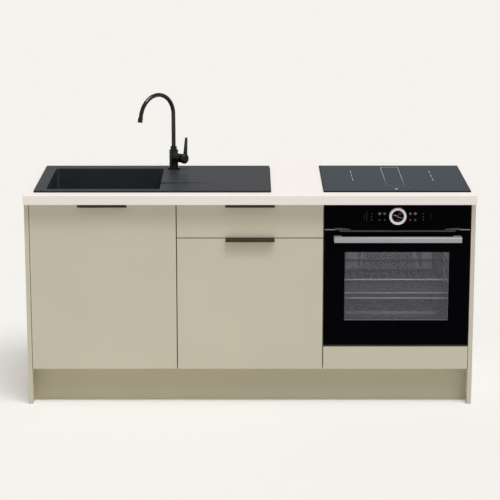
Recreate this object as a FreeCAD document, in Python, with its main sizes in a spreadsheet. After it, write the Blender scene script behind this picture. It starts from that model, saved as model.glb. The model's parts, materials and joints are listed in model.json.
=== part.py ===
import FreeCAD, Part
import os
import re
import Sketcher

# A fitted run of three kitchen base units under one worktop: a sink unit, a drawer unit and a
# unit with a built-in oven under a hob. Millimetres; the origin is on the floor, under the
# middle of the run; +X runs along the worktop, -Y is the front and +Z is up.

# Driving sizes
UNIT_NAMES = ("sink_unit", "drawer_unit", "oven_unit")
SHELF_WIRES = 13
RACK_LEVELS = 5
PAN_LEVEL = 1
SHELF_LEVEL = 2
COVER_SLOTS = 20
FAN_BLADES = 12

# The least share of an edge's direction that lies along the axis that it runs along
ALONG = 0.995

SIZES = {
    # Units, plinth and end panels
    "unit_width": 600,
    "board": 16,
    "back_board": 8,
    "wall_service_gap": 20,
    "carcass_height": 704,
    "plinth_height": 150,
    "plinth_setback": 55,
    "plinth_top_gap": 2,
    "end_panel": 18,
    "rear_rail_height": 100,
    "front_rail_depth": 80,
    "sink_rail_height": 60,
    # Worktop
    "worktop_depth": 650,
    "worktop_thick": 38,
    "worktop_overhang": 30,
    # Fronts
    "front_board": 19,
    "front_gap": 4,
    "bumper_gap": 1,
    "front_top_gap": 3,
    "front_bottom_gap": 2,
    "top_drawer_front": 140,
    # Edge pulls
    "pull_length": 200,
    "pull_sheet": 1.5,
    "pull_reach": 20,
    "pull_grip": 12,
    "pull_lip": 12,
    # Drawer boxes and runners
    "box_back_clearance": 80,
    "box_lift": 18,
    "low_wall": 84,
    "top_wall_gap": 22,
    "high_wall": 190,
    "side_wall": 13,
    "side_sheet": 1.2,
    "runner_space": 13,
    "runner_height": 46,
    "runner_sheet": 1.5,
    "runner_web_start": 4,
    "runner_web": 2,
    "runner_flange": 9,
    "runner_setback": 4,
    "runner_rise": 30,
    "slide_gap": 0.3,
    # Feet and plinth clips
    "leg_inset": 70,
    "leg_setback": 90,
    "leg_radius": 16,
    "leg_foot_radius": 28,
    "leg_foot": 10,
    "leg_socket_radius": 34,
    "leg_socket": 12,
    "clip_rise": 60,
    "clip_height": 24,
    "clip_ring": 3.5,
    "clip_gap": 0.3,
    "clip_mouth": 6,
    "clip_width": 26,
    # Wall fixings and the cut-out for the waste pipe
    "wall_hole_radius": 4,
    "wall_hole_inset": 60,
    "wall_hole_drop": 18,
    "pipe_cut": 120,
    # Sink
    "drainer_length": 454,
    "sink_back_margin": 87,
    "sink_rim": 8,
    "sink_corner": 8,
    "sink_end_margin": 19,
    "sink_setback": 63,
    "sink_lip": 10,
    "sink_fit_gap": 2,
    "sink_deck": 20,
    "bowl_depth": 200,
    "bowl_wall": 9,
    "bowl_corner": 14,
    "bowl_side_rim": 48,
    "bowl_front_rim": 28,
    "bowl_back_rim": 62,
    "bowl_right_margin": 70,
    "channel_width": 126,
    "channel_length": 240,
    "channel_depth": 3,
    # Waste, basket and trap
    "waste_hole_radius": 45,
    "waste_cup_radius": 44,
    "waste_cup_wall": 3,
    "waste_cup_depth": 55,
    "waste_flange_radius": 56,
    "waste_flange": 2,
    "waste_nut_radius": 54,
    "waste_nut": 8,
    "basket_radius": 38,
    "basket_rim_radius": 47,
    "basket_depth": 38,
    "basket_wall": 1.5,
    "basket_knob_radius": 6,
    "basket_knob": 20,
    "basket_gap": 0.3,
    "tail_length": 32,
    "pipe_radius": 20,
    "pipe_wall": 3,
    "inlet_length": 45,
    "bottle_radius": 33,
    "bottle_height": 100,
    "bottle_wall": 4,
    "outlet_drop": 32,
    "outlet_nut_radius": 27,
    "outlet_nut": 22,
    "spigot_length": 60,
    "wall_gap": 4,
    # Tap
    "tap_from_bowl": 42,
    "tap_from_back": 60,
    "tap_flange_radius": 26.5,
    "tap_flange": 6,
    "tap_body_radius": 19.25,
    "tap_body_height": 82,
    "tap_shank_radius": 15,
    "tap_shank": 42,
    "tap_hole_radius": 17.5,
    "tap_nut_radius": 25,
    "tap_nut": 10,
    "spout_stub_radius": 12,
    "spout_stub": 13,
    "spout_running_fit": 0.05,
    "spout_seat_gap": 0.3,
    "spout_collar_radius": 14,
    "spout_collar": 15,
    "spout_radius": 8.75,
    "spout_wall": 2,
    "spout_straight_top": 236,
    "arch_radius": 95.5,
    "arch_angle": 167,
    "spout_drop": 12,
    "nozzle_radius": 10.5,
    "nozzle_length": 20,
    "spout_turn": 46.5,
    # Tap lever
    "lever_turn": 36,
    "boss_radius": 19,
    "boss_top_gap": 0.2,
    "boss_reach": 43,
    "stem_radius": 6,
    "stem_start": 20,
    "stem_running_fit": 0.05,
    "knuckle_reach": 55,
    "knuckle_pin_radius": 2.5,
    "knuckle_pin_length": 28,
    "stem_end": 3,
    "lever_cap_radius": 21.5,
    "lever_cap_start": 48,
    "lever_cap_end": 68,
    "lever_cap_chamfer": 5,
    "lever_cap_edge": 4,
    "lever_slot_gap": 0.4,
    "lever_slot": 18,
    "lever_slot_depth": 15,
    "blade_foot_thick": 13,
    "blade_tip_thick": 8,
    "blade_foot_width": 15,
    "blade_tip_width": 8,
    "blade_top": 93,
    "blade_lean": 5,
    # Hob
    "hob_side_gap": 2,
    "hob_back_margin": 72,
    "hob_glass": 5,
    "hob_setback": 68,
    "hob_side_lip": 18,
    "hob_front_lip": 10,
    "hob_fit_gap": 2,
    "hob_casing_depth": 51,
    "hob_sheet": 1.5,
    "coil_thick": 8,
    "coil_gap": 0.3,
    "coil_side_margin": 158,
    "coil_end_margin": 137,
    "large_coil_radius": 90,
    "small_coil_radius": 72,
    "coil_core_radius": 12,
    # Oven, front
    "oven_shelf_rise": 98,
    "oven_top_gap": 7.5,
    "oven_front_lift": 3.5,
    "filler_block_depth": 35,
    "oven_side_gap": 2.5,
    "oven_plate": 18,
    "oven_seat": 42,
    "panel_height": 101.5,
    "panel_gap": 3,
    "panel_rear_margin": 8,
    "panel_rear_rise": 3.5,
    "bottom_trim": 3.5,
    "bottom_trim_gap": 5,
    # Oven, door
    "door_glass": 4,
    "door_frame_margin": 2.5,
    "door_rear_margin": 16,
    "door_rear_drop": 8,
    "door_rear_thick": 36,
    "door_rear_rise": 14,
    "window_side_margin": 27,
    "window_low_margin": 34,
    "window_high_margin": 36,
    "inner_glass_lap": 14,
    "seal_width": 10,
    "seal_gap": 0.3,
    "handle_end_margin": 39,
    "handle_height": 22,
    "handle_bar": 22,
    "oven_handle_reach": 48,
    "handle_post": 32,
    "handle_drop": 20,
    "handle_round": 3,
    # Oven, door hinges
    "hinge_rise": 8,
    "hinge_inset": 9,
    "hinge_edge_margin": 22,
    "hinge_arm": 8,
    "hinge_arm_height": 8,
    "hinge_pin_radius": 2.5,
    "hinge_pin_length": 28,
    "hinge_running_fit": 0.05,
    "hinge_side_gap": 1,
    # Oven, casing and cavity
    "casing_side_gap": 6,
    "casing_top_drop": 26.5,
    "casing_back_gap": 24,
    "casing_sheet": 1.2,
    "liner_sheet": 2,
    "cavity_side_wall": 38,
    "cavity_roof": 134,
    "cavity_back_space": 124,
    "cavity_rise": 78,
    "wool_thick": 28,
    "ring_rise": 6,
    "ring_radius": 35,
    "ring_bore_radius": 24.6,
    "ring_reach": 12,
    "ring_gap": 0.3,
    "display_radius": 24.2,
    "display_reach": 8,
    # Oven, racks and fan
    "rack_post_standoff": 4,
    "rack_post_radius": 2.5,
    "rack_weld": 0.5,
    "rack_wire_radius": 2.2,
    "rack_top_margin": 54,
    "rack_first": 78,
    "rack_pair": 14,
    "rack_front": 12,
    "rack_back_gap": 13,
    "rack_post_inset": 24,
    "rack_post_overhang": 28,
    "rack_stud_inset": 14,
    "shelf_wire_radius": 3,
    "shelf_thin_radius": 1.5,
    "shelf_gap": 0.3,
    "shelf_side_gap": 0.5,
    "shelf_front": 20,
    "shelf_back_gap": 25,
    "pan_depth": 26,
    "pan_sheet": 1.5,
    "pan_rim": 16,
    "cover_side_margin": 50,
    "cover_low_margin": 143,
    "cover_high_margin": 50,
    "cover_depth": 45,
    "cover_sheet": 2,
    "slot_length": 50,
    "slot_width": 6,
    "slot_start": 24,
    "fan_radius": 70,
    "fan_blade_start": 33.6,
    "fan_blade_length": 35,
    "fan_depth": 26,
    "fan_sheet": 1.5,
    "fan_hub_radius": 10,
    "fan_back_gap": 5,
    "shaft_radius": 4,
    "shaft_running_fit": 0.05,
    "shaft_hole_radius": 8,
    "shaft_in_motor": 34,
    "shaft_end_gap": 1,
    "motor_radius": 34,
    "motor_length": 60,
    "motor_gap": 2,
    # Overrun of every cut
    "overrun": 5,
}

# Places worked out from the sizes
PLACES = {
    "run_right": f"{len(UNIT_NAMES)} * unit_width / 2",
    "run_left": "-run_right",
    "oven_left": "run_left + 2 * unit_width",
    "face": "-(worktop_depth - worktop_overhang - oven_handle_reach) / 2",
    "front_back": "face + front_board",
    "carcass_front": "front_back + bumper_gap",
    "worktop_front": "face - worktop_overhang",
    "wall": "worktop_front + worktop_depth",
    "carcass_back": "wall - wall_service_gap",
    "box_length": "carcass_back - carcass_front - box_back_clearance",
    "top_wall": "top_drawer_front - box_lift - board - top_wall_gap",
    "carcass_top": "plinth_height + carcass_height",
    "worktop_top": "carcass_top + worktop_thick",
    "floor_board_top": "plinth_height + board",
    "fronts_bottom": "plinth_height + front_bottom_gap",
    "fronts_top": "carcass_top - front_top_gap",
    "top_drawer_low": "fronts_top - top_drawer_front",
    "pan_drawer_top": "top_drawer_low - front_gap",
    "plinth_back": "face + plinth_setback + board",
    "front_leg": "carcass_front + leg_setback",
    "back_leg": "carcass_back - leg_setback",
    # Sink and tap
    "sink_left": "run_left + sink_end_margin",
    "sink_front": "worktop_front + sink_setback",
    "sink_back": "wall - sink_back_margin",
    "sink_top": "worktop_top + sink_rim",
    "bowl_left": "sink_left + bowl_side_rim",
    "bowl_right": "run_left + unit_width - bowl_right_margin",
    "bowl_front": "sink_front + bowl_front_rim",
    "bowl_back": "sink_back - bowl_back_rim",
    "sink_right": "bowl_right + drainer_length",
    "bowl_floor": "sink_top - bowl_depth",
    "bowl_under": "bowl_floor - bowl_wall",
    "waste_x": "(bowl_left + bowl_right) / 2",
    "waste_y": "(bowl_front + bowl_back) / 2",
    "tail_bottom": "bowl_floor - waste_cup_depth - tail_length",
    "bottle_top": "tail_bottom - inlet_length",
    "bottle_bottom": "bottle_top - bottle_height",
    "outlet": "bottle_top - outlet_drop",
    "tap_x": "bowl_right + tap_from_bowl",
    "tap_y": "sink_back - tap_from_back",
    "lever_rise": "tap_body_height - spout_stub - boss_radius - boss_top_gap",
    # Hob
    "oven_mid": "oven_left + unit_width / 2",
    "hob_front": "worktop_front + hob_setback",
    "hob_back": "wall - hob_back_margin",
    "hob_mid": "(hob_front + hob_back) / 2",
    "hob_left": "oven_left + hob_side_gap",
    "hob_right": "run_right - hob_side_gap",
    "coil_across": "(hob_right - hob_left) / 2 - coil_side_margin",
    "coil_along": "(hob_back - hob_front) / 2 - coil_end_margin",
    "hob_bottom": "worktop_top - hob_casing_depth",
    # Oven
    "oven_shelf_top": "plinth_height + oven_shelf_rise",
    "oven_low": "oven_shelf_top + oven_front_lift",
    "oven_high": "carcass_top - oven_top_gap",
    "oven_half": "unit_width / 2 - oven_side_gap",
    "casing_width": "unit_width - 2 * board - 2 * casing_side_gap",
    "cavity_width": "casing_width - 2 * cavity_side_wall",
    "panel_rear_width": "casing_width - 2 * panel_rear_margin",
    "door_rear_width": "casing_width - 2 * door_rear_margin",
    "window_width": "cavity_width - 2 * window_side_margin",
    "handle_length": "2 * (oven_half - handle_end_margin)",
    "hinge_spread": "door_rear_width / 2 - hinge_edge_margin",
    "panel_low": "oven_high - panel_height",
    "door_top": "panel_low - panel_gap",
    "door_low": "oven_low + bottom_trim + bottom_trim_gap",
    "chassis": "face + oven_seat",
    "door_rear": "face + door_glass + door_rear_thick",
    "pivot_y": "face + hinge_inset",
    "pivot_z": "door_low + hinge_rise",
    "ring_z": "(panel_low + oven_high) / 2 + ring_rise",
    "casing_top": "oven_high - casing_top_drop",
    "casing_back": "carcass_back - casing_back_gap",
    "cavity_low": "oven_shelf_top + cavity_rise",
    "cavity_high": "casing_top - cavity_roof",
    "cavity_back": "casing_back - cavity_back_space",
    "window_low": "cavity_low + window_low_margin",
    "window_high": "cavity_high - window_high_margin",
    "liner_back": "cavity_back + liner_sheet",
    "cover_front": "cavity_back - cover_depth",
    "cover_width": "cavity_width - 2 * cover_side_margin",
    "cover_low": "cavity_low + cover_low_margin",
    "cover_high": "cavity_high - cover_high_margin",
    "fan_z": "(cover_low + cover_high) / 2",
    "rack_pitch": f"(cavity_high - cavity_low - rack_first - rack_pair - rack_top_margin) / {RACK_LEVELS - 1}",
    "rack_length": "cover_front - rack_back_gap - chassis - rack_front",
    "shelf_length": "cover_front - shelf_back_gap - chassis - shelf_front",
    "rack_post_half": "cavity_width / 2 - rack_post_standoff",
    "rack_wire_half": "rack_post_half - rack_post_radius - rack_wire_radius + rack_weld",
    "shelf_half": "rack_post_half - rack_post_radius - shelf_side_gap",
}

doc = FreeCAD.newDocument("KitchenRun")
finished = {}


def full(formula, own_places=False):
    """The formula with each named size or place written as its sheet's cell."""
    def cell(found):
        word = found.group(0)
        if word in SIZES:
            return f"Sizes.{word}"
        if word in PLACES and not own_places:
            return f"Places.{word}"
        return word
    return re.sub(r"[a-z_]+", cell, formula)


def fill_sheet(name, cells):
    """A sheet with one named cell to a row."""
    sheet = doc.addObject("Spreadsheet::Sheet", name)
    for row, (alias, text) in enumerate(cells.items(), start=1):
        sheet.set(f"A{row}", alias)
        sheet.set(f"B{row}", text)
        sheet.setAlias(f"B{row}", alias)
    doc.recompute()
    return sheet


fill_sheet("Sizes", {alias: str(size) for alias, size in SIZES.items()})
places = fill_sheet("Places", {alias: "=" + full(rule, True) for alias, rule in PLACES.items()})


def number(formula):
    """What a formula comes to now, for picking edges and first guesses of a sketch."""
    return float(places.evalExpression(full(formula)))


# Small building steps
def bind(piece, prop, formula):
    piece.setExpression(prop, full(formula))


def place(piece, spot):
    for axis, formula in zip("xyz", spot):
        bind(piece, f"Placement.Base.{axis}", formula)


def span(piece, low, high):
    """Gives a block its two opposite corners."""
    for prop, start, end in zip(("Length", "Width", "Height"), low, high):
        bind(piece, prop, f"({end}) - ({start})")
    place(piece, low)
    return piece


def box(name, low, high):
    return span(doc.addObject("Part::Box", name), low, high)


TURNS = {
    "x": FreeCAD.Rotation(FreeCAD.Vector(0, 1, 0), 90),
    "y": FreeCAD.Rotation(FreeCAD.Vector(1, 0, 0), -90),
    "z": FreeCAD.Rotation(),
}


def rod(name, foot, axis, radius, length):
    """A cylinder that grows from its foot along one axis."""
    piece = doc.addObject("Part::Cylinder", name)
    piece.Placement.Rotation = TURNS[axis]
    bind(piece, "Radius", radius)
    bind(piece, "Height", length)
    place(piece, foot)
    return piece


def fuse(name, pieces):
    piece = doc.addObject("Part::MultiFuse", name)
    piece.Shapes = pieces
    piece.Refine = True
    return piece


def group(name, pieces):
    """Separate solids that share one node."""
    piece = doc.addObject("Part::Compound", name)
    piece.Links = pieces
    return piece


def cut(name, base, tools):
    piece = doc.addObject("Part::Cut", name)
    piece.Base = base
    piece.Tool = tools[0] if len(tools) == 1 else fuse(f"{name}_tools", tools)
    piece.Refine = True
    return piece


def tube(name, foot, axis, radius, bore, length):
    shell = rod(f"{name}_outside", foot, axis, radius, length)
    return cut(name, shell, [rod(f"{name}_bore", foot, axis, bore, length)])


def new_body(name):
    return doc.addObject("PartDesign::Body", name)


def add_block(solid, low, high):
    return span(solid.newObject("PartDesign::AdditiveBox", "block"), low, high)


def take_block(solid, low, high):
    return span(solid.newObject("PartDesign::SubtractiveBox", "pocket"), low, high)


def round_edges(solid, radius, chosen):
    """Rounds the edges of a body that the test picks."""
    doc.recompute()
    base = solid.Tip
    edges = enumerate(base.Shape.Edges, start=1)
    names = [f"Edge{index}" for index, edge in edges if chosen(edge)]
    rounding = solid.newObject("PartDesign::Fillet", "rounding")
    rounding.Base = (base, names)
    bind(rounding, "Radius", radius)


def runs_along(edge, axis):
    """True for a straight edge along the axis."""
    return isinstance(edge.Curve, Part.Line) and abs(getattr(edge.Curve.Direction, axis)) > ALONG


def outline(solid, role, points):
    """A closed outline of straight lines on one of the body's planes, with every corner bound."""
    sketch = solid.newObject("Sketcher::SketchObject", "outline")
    plane = next(item for item in solid.Origin.OriginFeatures if item.Role == role)
    sketch.AttachmentSupport = [(plane, "")]
    sketch.MapMode = "FlatFace"
    spots = [FreeCAD.Vector(number(across), number(up), 0) for across, up in points]
    for here, there in zip(spots, spots[1:] + spots[:1]):
        sketch.addGeometry(Part.LineSegment(here, there))
    for corner in range(len(points)):
        meet = Sketcher.Constraint("Coincident", corner, 2, (corner + 1) % len(points), 1)
        sketch.addConstraint(meet)
    for corner, (point, spot) in enumerate(zip(points, spots)):
        for kind, formula, distance in (("DistanceX", point[0], spot.x), ("DistanceY", point[1], spot.y)):
            index = sketch.addConstraint(Sketcher.Constraint(kind, -1, 1, corner, 1, distance))
            if formula != "0":
                sketch.setExpression(f"Constraints[{index}]", full(formula))
    return sketch


def revolve(name, points):
    """A solid turned about the vertical, from radius and height pairs."""
    solid = new_body(name)
    turned = solid.newObject("PartDesign::Revolution", "turned")
    turned.Profile = outline(solid, "XZ_Plane", points)
    turned.ReferenceAxis = (turned.Profile[0], ["V_Axis"])
    turned.Angle = 360
    return solid


def extrude(name, role, points, length):
    """A solid of one outline, pushed along its plane's normal."""
    solid = new_body(name)
    pad = solid.newObject("PartDesign::Pad", "pad")
    pad.Profile = outline(solid, role, points)
    bind(pad, "Length", length)
    return solid


def copies(name, source, spots):
    """The same piece set at several places."""
    links = []
    for spot in spots:
        link = doc.addObject("App::Link", f"{name}_copy")
        link.LinkedObject = source
        place(link, spot)
        links.append(link)
    return group(name, links)


def keep(piece, label):
    """Marks an object as a finished sub-part, under the name of its file."""
    piece.Label = label
    finished[label] = piece


def unit_left(index):
    return f"run_left + {index} * unit_width"


def unit_right(index):
    return f"run_left + {index + 1} * unit_width"


# Worktop, end panels, plinth and feet
def make_worktop():
    slab = box(
        "worktop_slab",
        ("run_left - end_panel", "worktop_front", "carcass_top"),
        ("run_right + end_panel", "wall", "worktop_top"),
    )
    sink_hole = box(
        "sink_hole",
        ("sink_left + sink_lip", "sink_front + sink_lip", "carcass_top - overrun"),
        ("sink_right - sink_lip", "sink_back - sink_lip", "worktop_top + overrun"),
    )
    hob_hole = box(
        "hob_hole",
        ("hob_left + hob_side_lip", "hob_front + hob_front_lip", "carcass_top - overrun"),
        ("hob_right - hob_side_lip", "hob_back - hob_front_lip", "worktop_top + overrun"),
    )
    keep(cut("worktop", slab, [sink_hole, hob_hole]), "worktop")


def make_end_panels():
    for label, low, high in (
        ("end_panel_left", "run_left - end_panel", "run_left"),
        ("end_panel_right", "run_right", "run_right + end_panel"),
    ):
        keep(box(label, (low, "face", "0"), (high, "wall", "carcass_top")), label)


def make_plinth():
    board = box(
        "plinth_board",
        ("run_left", "plinth_back - board", "0"),
        ("run_right", "plinth_back", "plinth_height - plinth_top_gap"),
    )
    keep(board, "plinth_board")


def make_legs():
    leg = revolve("leg", (
        ("0", "0"),
        ("leg_foot_radius", "0"),
        ("leg_foot_radius", "leg_foot"),
        ("leg_radius", "leg_foot"),
        ("leg_radius", "plinth_height - leg_socket"),
        ("leg_socket_radius", "plinth_height - leg_socket"),
        ("leg_socket_radius", "plinth_height"),
        ("0", "plinth_height"),
    ))
    spots = []
    for index in range(len(UNIT_NAMES)):
        for across in (f"{unit_left(index)} + leg_inset", f"{unit_right(index)} - leg_inset"):
            spots += [(across, along, "0") for along in ("front_leg", "back_leg")]
    keep(copies("levelling_legs", leg, spots), "levelling_legs")


def make_plinth_clips():
    low = "-clip_height / 2"
    ring = "leg_radius + clip_gap"
    hoop = tube("clip_hoop", ("0", "0", low), "z", f"{ring} + clip_ring", ring, "clip_height")
    mouth = box(
        "clip_opening",
        (f"-({ring} + clip_ring + overrun)", "clip_mouth", f"{low} - overrun"),
        (f"{ring} + clip_ring + overrun", f"{ring} + clip_ring + overrun", "clip_height / 2 + overrun"),
    )
    pad = box(
        "clip_pad",
        ("-clip_width / 2", "plinth_back - front_leg", low),
        ("clip_width / 2", f"-({ring} + clip_ring / 2)", "clip_height / 2"),
    )
    leg_space = rod("clip_leg_space", ("0", "0", low), "z", ring, "clip_height")
    clip = cut("plinth_clip", fuse("clip_blank", [hoop, pad]), [mouth, leg_space])
    spots = []
    for index in range(len(UNIT_NAMES)):
        for across in (f"{unit_left(index)} + leg_inset", f"{unit_right(index)} - leg_inset"):
            spots.append((across, "front_leg", "clip_rise"))
    keep(copies("plinth_clips", clip, spots), "plinth_clips")


# Carcasses
def make_carcasses():
    for index, unit in enumerate(UNIT_NAMES):
        left = unit_left(index)
        right = unit_right(index)
        sides = [
            box(f"{unit}_side", (low, "carcass_front", "plinth_height"),
                (high, "carcass_back", "carcass_top"))
            for low, high in ((left, f"{left} + board"), (f"{right} - board", right))
        ]
        keep(group(f"{unit}_sides", sides), f"{unit}_sides")
        bottom = box(
            f"{unit}_bottom",
            (f"{left} + board", "carcass_front", "plinth_height"),
            (f"{right} - board", "carcass_back", "floor_board_top"),
        )
        keep(bottom, f"{unit}_bottom")
    shelf = box(
        "oven_unit_shelf",
        ("oven_left + board", "carcass_front", "oven_shelf_top - board"),
        ("run_right - board", "carcass_back", "oven_shelf_top"),
    )
    keep(shelf, "oven_unit_shelf")


def make_backs():
    """Thin backs behind the sink and the drawers; the oven unit stays open for air."""
    top = "carcass_top - rear_rail_height"
    backs = [
        box(
            "back_panel",
            (f"{unit_left(index)} + board", "carcass_back - back_board", "floor_board_top"),
            (f"{unit_right(index)} - board", "carcass_back", top),
        )
        for index in (0, 1)
    ]
    pipe_hole = box(
        "pipe_hole",
        ("waste_x - pipe_cut / 2", "carcass_back - back_board - overrun", "outlet - pipe_cut / 2"),
        ("waste_x + pipe_cut / 2", "carcass_back + overrun", "outlet + pipe_cut / 2"),
    )
    backs[0] = cut("sink_back_panel", backs[0], [pipe_hole])
    keep(group("unit_back_panels", backs), "unit_back_panels")


def make_rails():
    rails = []
    for index in range(len(UNIT_NAMES)):
        left = unit_left(index)
        right = unit_right(index)
        rail = box(
            "rear_rail_blank",
            (f"{left} + board", "carcass_back - board", "carcass_top - rear_rail_height"),
            (f"{right} - board", "carcass_back", "carcass_top"),
        )
        holes = [
            rod(
                "wall_hole",
                (across, "carcass_back - board - overrun", "carcass_top - wall_hole_drop"),
                "y",
                "wall_hole_radius",
                "board + 2 * overrun",
            )
            for across in (f"{left} + wall_hole_inset", f"{right} - wall_hole_inset")
        ]
        rails.append(cut("rear_rail", rail, holes))
    rails.append(box(
        "sink_front_rail",
        (f"{unit_left(0)} + board", "carcass_front", "carcass_top - sink_rail_height"),
        (f"{unit_right(0)} - board", "carcass_front + board", "carcass_top"),
    ))
    rails.append(box(
        "drawer_front_rail",
        (f"{unit_left(1)} + board", "carcass_front", "carcass_top - board"),
        (f"{unit_right(1)} - board", "carcass_front + front_rail_depth", "carcass_top"),
    ))
    keep(group("carcass_rails", rails), "carcass_rails")


def make_filler():
    """The fixed strip under the oven, with the two blocks that it is screwed to."""
    left = "oven_left"
    right = "run_right"
    panel = box(
        "filler_panel",
        (f"{left} + front_gap / 2", "face", "fronts_bottom"),
        (f"{right} - front_gap / 2", "front_back", "oven_shelf_top"),
    )
    blocks = [
        box(
            "filler_block",
            (low, "front_back", "floor_board_top"),
            (high, "front_back + filler_block_depth", "oven_shelf_top - board"),
        )
        for low, high in (
            (f"{left} + board", f"{left} + 2 * board"),
            (f"{right} - 2 * board", f"{right} - board"),
        )
    ]
    keep(group("oven_unit_filler", [panel] + blocks), "oven_unit_filler")


# Pull-outs
PULL_OUTS = (
    ("sink_pullout", 0, "fronts_bottom", "fronts_top", "low_wall"),
    ("top_drawer", 1, "top_drawer_low", "fronts_top", "top_wall"),
    ("pan_drawer", 1, "fronts_bottom", "pan_drawer_top", "high_wall"),
)


def across(wall, side, start, end):
    """The low and high x of a slice that lies start to end inside a carcass side."""
    if side > 0:
        return f"{wall} + {start}", f"{wall} + {end}"
    return f"{wall} - ({end})", f"{wall} - ({start})"


def member(name, wall, side, height, slices, length):
    """One runner member: slices across the gap, each with its lowest and highest z."""
    front, back = length
    pieces = []
    for start, end, low, high in slices:
        left, right = across(wall, side, start, end)
        pieces.append(box(
            f"{name}_slice",
            (left, front, f"{height} + ({low})"),
            (right, back, f"{height} + ({high})"),
        ))
    return fuse(name, pieces)


def channel(web, flanges, half, sheet):
    """The slices of a channel or an H: one web and a flange along its top and its bottom."""
    return (
        (web[0], web[1], f"-({half})", half),
        (flanges[0], flanges[1], f"{half} - {sheet}", half),
        (flanges[0], flanges[1], f"-({half})", f"{sheet} - ({half})"),
    )


def make_pull_out(name, index, front_low, front_high, wall_height, cabinet_members):
    left_wall = f"{unit_left(index)} + board"
    right_wall = f"{unit_right(index)} - board"
    low = f"{front_low} + box_lift + board"
    high = f"{low} + {wall_height}"
    back = "front_back + box_length"
    middle = f"({unit_left(index)} + unit_width / 2)"
    inner = "(runner_space + side_wall)"

    front = box(
        f"{name}_front",
        (f"{unit_left(index)} + front_gap / 2", "face", front_low),
        (f"{unit_right(index)} - front_gap / 2", "front_back", front_high),
    )
    keep(front, f"{name}_front")

    plate = box(
        f"{name}_pull_plate",
        (f"{middle} - pull_length / 2", "face - pull_reach", front_high),
        (f"{middle} + pull_length / 2", "face + pull_grip", f"{front_high} + pull_sheet"),
    )
    lip = box(
        f"{name}_pull_lip",
        (f"{middle} - pull_length / 2", "face - pull_reach", f"{front_high} + pull_sheet - pull_lip"),
        (f"{middle} + pull_length / 2", "face - pull_reach + pull_sheet", f"{front_high} + pull_sheet"),
    )
    keep(fuse(f"{name}_handle", [plate, lip]), f"{name}_handle")

    rail_height = f"{low} + runner_rise"
    half = "runner_height / 2"
    inset = "runner_sheet + slide_gap"
    middles = []
    walls = []
    for wall, side in ((left_wall, 1), (right_wall, -1)):
        cabinet_members.append(member(
            f"{name}_cabinet_member", wall, side, rail_height,
            channel(("0", "runner_sheet"), ("0", "runner_flange"), half, "runner_sheet"),
            ("carcass_front + runner_setback", "carcass_front + runner_setback + box_length"),
        ))
        middles.append(member(
            f"{name}_middle_member", wall, side, rail_height,
            channel(
                ("runner_web_start", "runner_web_start + runner_web"),
                (inset, "runner_space - slide_gap"),
                f"{half} - ({inset})",
                "runner_sheet",
            ),
            ("carcass_front + runner_setback", "carcass_front + runner_setback + box_length"),
        ))
        rail = member(
            f"{name}_drawer_member", wall, side, rail_height,
            channel(
                ("runner_space - runner_sheet", "runner_space"),
                ("runner_web_start + runner_web + slide_gap", "runner_space"),
                f"{half} - 2 * ({inset})",
                "runner_sheet",
            ),
            ("front_back", back),
        )
        outside = across(wall, side, "runner_space", inner)
        hollow = across(wall, side, "runner_space + side_sheet", f"{inner} - side_sheet")
        skin = box(f"{name}_side_skin", (outside[0], "front_back", low), (outside[1], back, high))
        space = box(
            f"{name}_side_space",
            (hollow[0], "front_back - overrun", f"{low} - overrun"),
            (hollow[1], f"{back} + overrun", f"{high} - side_sheet"),
        )
        walls.append(fuse(f"{name}_side", [cut(f"{name}_side_shell", skin, [space]), rail]))

    walls.append(box(
        f"{name}_box_back",
        (f"{left_wall} + {inner}", f"{back} - board", low),
        (f"{right_wall} - {inner}", back, high),
    ))
    keep(group(f"{name}_walls", walls), f"{name}_walls")
    base = box(
        f"{name}_base",
        (f"{left_wall} + {inner}", "front_back", low),
        (f"{right_wall} - {inner}", f"{back} - board", f"{low} + board"),
    )
    keep(base, f"{name}_base")
    keep(group(f"{name}_runner_middles", middles), f"{name}_runner_middles")


def make_pull_outs():
    cabinet_members = []
    for name, index, low, high, wall_height in PULL_OUTS:
        make_pull_out(name, index, low, high, wall_height, cabinet_members)
    keep(group("runner_cabinet_members", cabinet_members), "runner_cabinet_members")


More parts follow.
